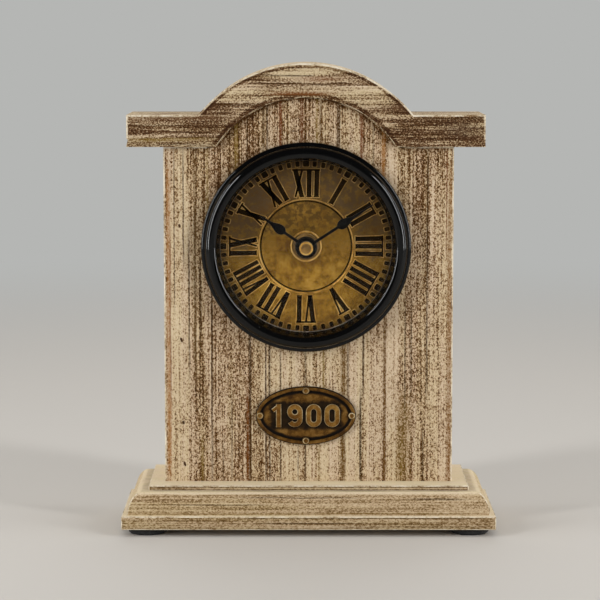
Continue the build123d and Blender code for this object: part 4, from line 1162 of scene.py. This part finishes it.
def penTurn(bm, section, centre, degrees):
    steps = max(6, int(abs(degrees) / 9))
    made = bmesh.ops.spin(bm, geom=section[0] + section[1], cent=(centre[0], 0, centre[1]), axis=(0, 1, 0),
                          angle=math.radians(degrees), steps=steps)["geom_last"]
    return only(made, BMVert), only(made, BMEdge)


def bowlCentres(look):
    # heights of the lower and the upper bowl's centre
    foot = look["bowl"] + look["stroke"] / 2
    return foot, look["tall"] - look["bowl"] - look["stroke"] / 2


def figureOne(look):
    bm = bmesh.new()
    penMove(bm, penProfile(bm, 0, 0, look), 0, look["tall"])
    flag = bmesh.new()
    penMove(flag, penProfile(flag, 0, 0, dict(look, stroke=0.8 * look["stroke"])), 0, look["flag"])
    turnBy(flag, flag.verts, math.radians(-128))
    moveBy(flag, flag.verts, (0.1 * look["stroke"], 0.02 * mm, look["tall"] - 0.75 * mm))
    joinTo(bm, flag)
    return bm


def figureNine(look):
    bm = bmesh.new()
    reach = look["bowl"]
    low, high = bowlCentres(look)
    penTurn(bm, penProfile(bm, reach, high, look), (0, high), -360)
    tail = bmesh.new()
    section = penMove(tail, penProfile(tail, reach, high, look), 0, low - high)
    penTurn(tail, section, (0, low), 150)
    moveBy(tail, tail.verts, (0, 0.02 * mm, 0))
    joinTo(bm, tail)
    return bm


def figureNought(look):
    bm = bmesh.new()
    low, high = bowlCentres(look)
    section = penMove(bm, penProfile(bm, look["bowl"], low, look), 0, high - low)
    section = penTurn(bm, section, (0, high), -180)
    section = penMove(bm, section, 0, low - high)
    penTurn(bm, section, (0, low), -180)
    return bm


def plateNumber(look):
    # the number 1900 in raised strokes, their chamfered edges in pale brass as a painted highlight
    low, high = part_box("year_plate")
    bm = bmesh.new()
    figures = [(figureOne, -12.1), (figureNine, -4.9), (figureNought, 3.5), (figureNought, 11.7)]
    for figure, x in figures:
        part = figure(look)
        weld(part)
        bmesh.ops.holes_fill(part, edges=part.edges[:], sides=8)
        faceOutwards(part)
        for face in part.faces:
            # painted highlight: every face but the flat front takes the pale brass
            face.material_index = 0 if face.normal.y < -0.98 else 1
        moveBy(part, part.verts, ((low.x + high.x) / 2 + x * mm, low.y + look["fieldDepth"],
                                  (low.z + high.z - look["tall"]) / 2))
        joinTo(bm, part)
    return finishPiece("plate_number", bm, ["plateFace", "paleBrass"], "case", (), 30)


def pinHeads(head):
    low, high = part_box("plate_pins")
    bm = bmesh.new()
    seat = low.y + 1.1 * mm
    centreX, centreZ = (low.x + high.x) / 2, (low.z + high.z) / 2
    reachX, reachZ = (high.x - low.x) / 2 - head, (high.z - low.z) / 2 - head
    profile = [(0, 0.35), (0.75, 0.35), (0.95, 0.08), (1.15, 0), (1.4, 0.08), (1.6, 0.35)]      # mm
    points = [(radius * mm, low.y + depth * mm) for radius, depth in profile]
    points += [(head, seat), (0.5 * mm, seat), (0.5 * mm, high.y), (0, high.y)]
    for x, z in ((0, reachZ), (0, -reachZ), (-reachX, 0), (reachX, 0)):
        part = turned(points, 32, (0, 0, 0))
        faceOutwards(part)
        # painted highlight on the crest ring in pale brass, painted shade in dark brass round its outside
        markFaces(part, lambda reach, y: 2 if mm < reach < 1.4 * mm else 1 if reach < mm else 0, Vector())
        moveBy(part, part.verts, (centreX + x, 0, centreZ + z))
        joinTo(bm, part)
    return finishPiece("pin_heads", bm, ["darkBrass", "plateFace", "paleBrass"], "case",
                       ["plate_pins"], 40)


ovalPlate(plateLook)
plateNumber(plateLook)
pinHeads(1.65 * mm)
print("plate done")


stageLook = {
    "floor": (196, 191, 184), "wall": (181, 182, 180), "wallY": 2.0, "cove": 0.7, "front": -3.0,
    "half": 3.0, "top": 3.0, "near": 0.4, "far": 1.2,
}


def stageFinish(name, look):
    # far behind the clock it glows in its own colour
    tree, shader = startMaterial(name, 0.8)
    x, y, z = axes(tree)
    feed(tree, shader.inputs["Base Color"],
         blend(tree, fade(tree, z, 0.0, look["cove"]), look["floor"], look["wall"]))
    glow = tree.nodes.new("ShaderNodeEmission")
    feed(tree, glow.inputs["Color"], look["wall"])
    path = tree.nodes.new("ShaderNodeLightPath")
    seen = calc(tree, "MAXIMUM", path.outputs["Is Camera Ray"], path.outputs["Is Glossy Ray"])
    seen = calc(tree, "MAXIMUM", seen, path.outputs["Is Transmission Ray"])
    share = product(tree, seen, fade(tree, reachFrom(tree, x, y), look["near"], look["far"]))
    mixShaders(tree, share, shader, glow)


def stageSheet(look):
    # a floor that runs up into a wall
    bm = bmesh.new()
    half, turnY = look["half"], look["wallY"] - look["cove"]
    start = bm.verts.new((-half, look["front"], 0))
    last = lineTo(bm, start, -half, turnY, 0)
    made = bmesh.ops.spin(bm, geom=[last], cent=(-half, turnY, look["cove"]), axis=(1, 0, 0),
                          angle=math.pi / 2, steps=24)
    lineTo(bm, only(made["geom_last"], BMVert)[0], -half, look["wallY"], look["top"])
    made = bmesh.ops.extrude_edge_only(bm, edges=bm.edges[:])["geom"]
    moveBy(bm, only(made, BMVert), (2 * half, 0, 0))
    faceOutwards(bm)
    stageFinish("stage", look)
    sheet = looseObject("stage_sheet", bm, ["stage"])
    smoothFaces(sheet, 180)


lampAim = Vector((0, 0, 0.11))      # half way up the clock


def lamp(name, place, size, power, colour=(1, 1, 1), glossy=True):
    data = bpy.data.lights.new(name, "AREA")
    data.shape = "RECTANGLE"
    data.size, data.size_y = size
    data.energy = power
    data.color = colour
    made = bpy.data.objects.new(name, data)
    bpy.context.scene.collection.objects.link(made)
    made.location = place
    made.rotation_euler = (lampAim - Vector(place)).to_track_quat("-Z", "Y").to_euler()
    made.visible_camera = False      # other views look past the lamps
    made.visible_glossy = glossy


stageSheet(stageLook)
lamp("strip_left", (-0.99, -0.66, 0.42), (0.14, 1.1), 11.9, (0.98, 0.99, 1.0))
lamp("strip_right", (0.99, -0.66, 0.42), (0.14, 1.1), 11.9, (0.98, 0.99, 1.0))
lamp("side_left", (-1.2, 0.0, 0.42), (0.07, 1.0), 4, (0.97, 0.99, 1.0))
lamp("side_right", (1.2, 0.0, 0.42), (0.07, 1.0), 4, (0.97, 0.99, 1.0))
lamp("overhead", (0, 0.2, 1.3), (1.6, 0.8), 6.5, (1.0, 0.985, 0.96), glossy=False)
lamp("kicker", (0, 1.25, 0.9), (1.4, 0.7), 5)

world = bpy.data.worlds.new("room")
bpy.context.scene.world = world
world.use_nodes = True
world.node_tree.nodes["Background"].inputs["Color"].default_value = (0.9, 0.92, 0.95, 1.0)
world.node_tree.nodes["Background"].inputs["Strength"].default_value = 0.07

cameraLook = {"place": (-3.8 * mm, -1047.3 * mm, 223.9 * mm), "pitch": 0.1168, "lens": 141.6, "sensor": 36.0}
cameraData = bpy.data.cameras.new("camera")
cameraData.lens = cameraLook["lens"]
cameraData.sensor_width = cameraLook["sensor"]
camera = bpy.data.objects.new("camera", cameraData)
bpy.context.scene.collection.objects.link(camera)
camera.location = cameraLook["place"]
camera.rotation_euler = (math.pi / 2 - cameraLook["pitch"], 0, 0)
bpy.context.scene.camera = camera
bpy.context.scene.view_settings.view_transform = "Standard"
print("stage, lamps and camera done")
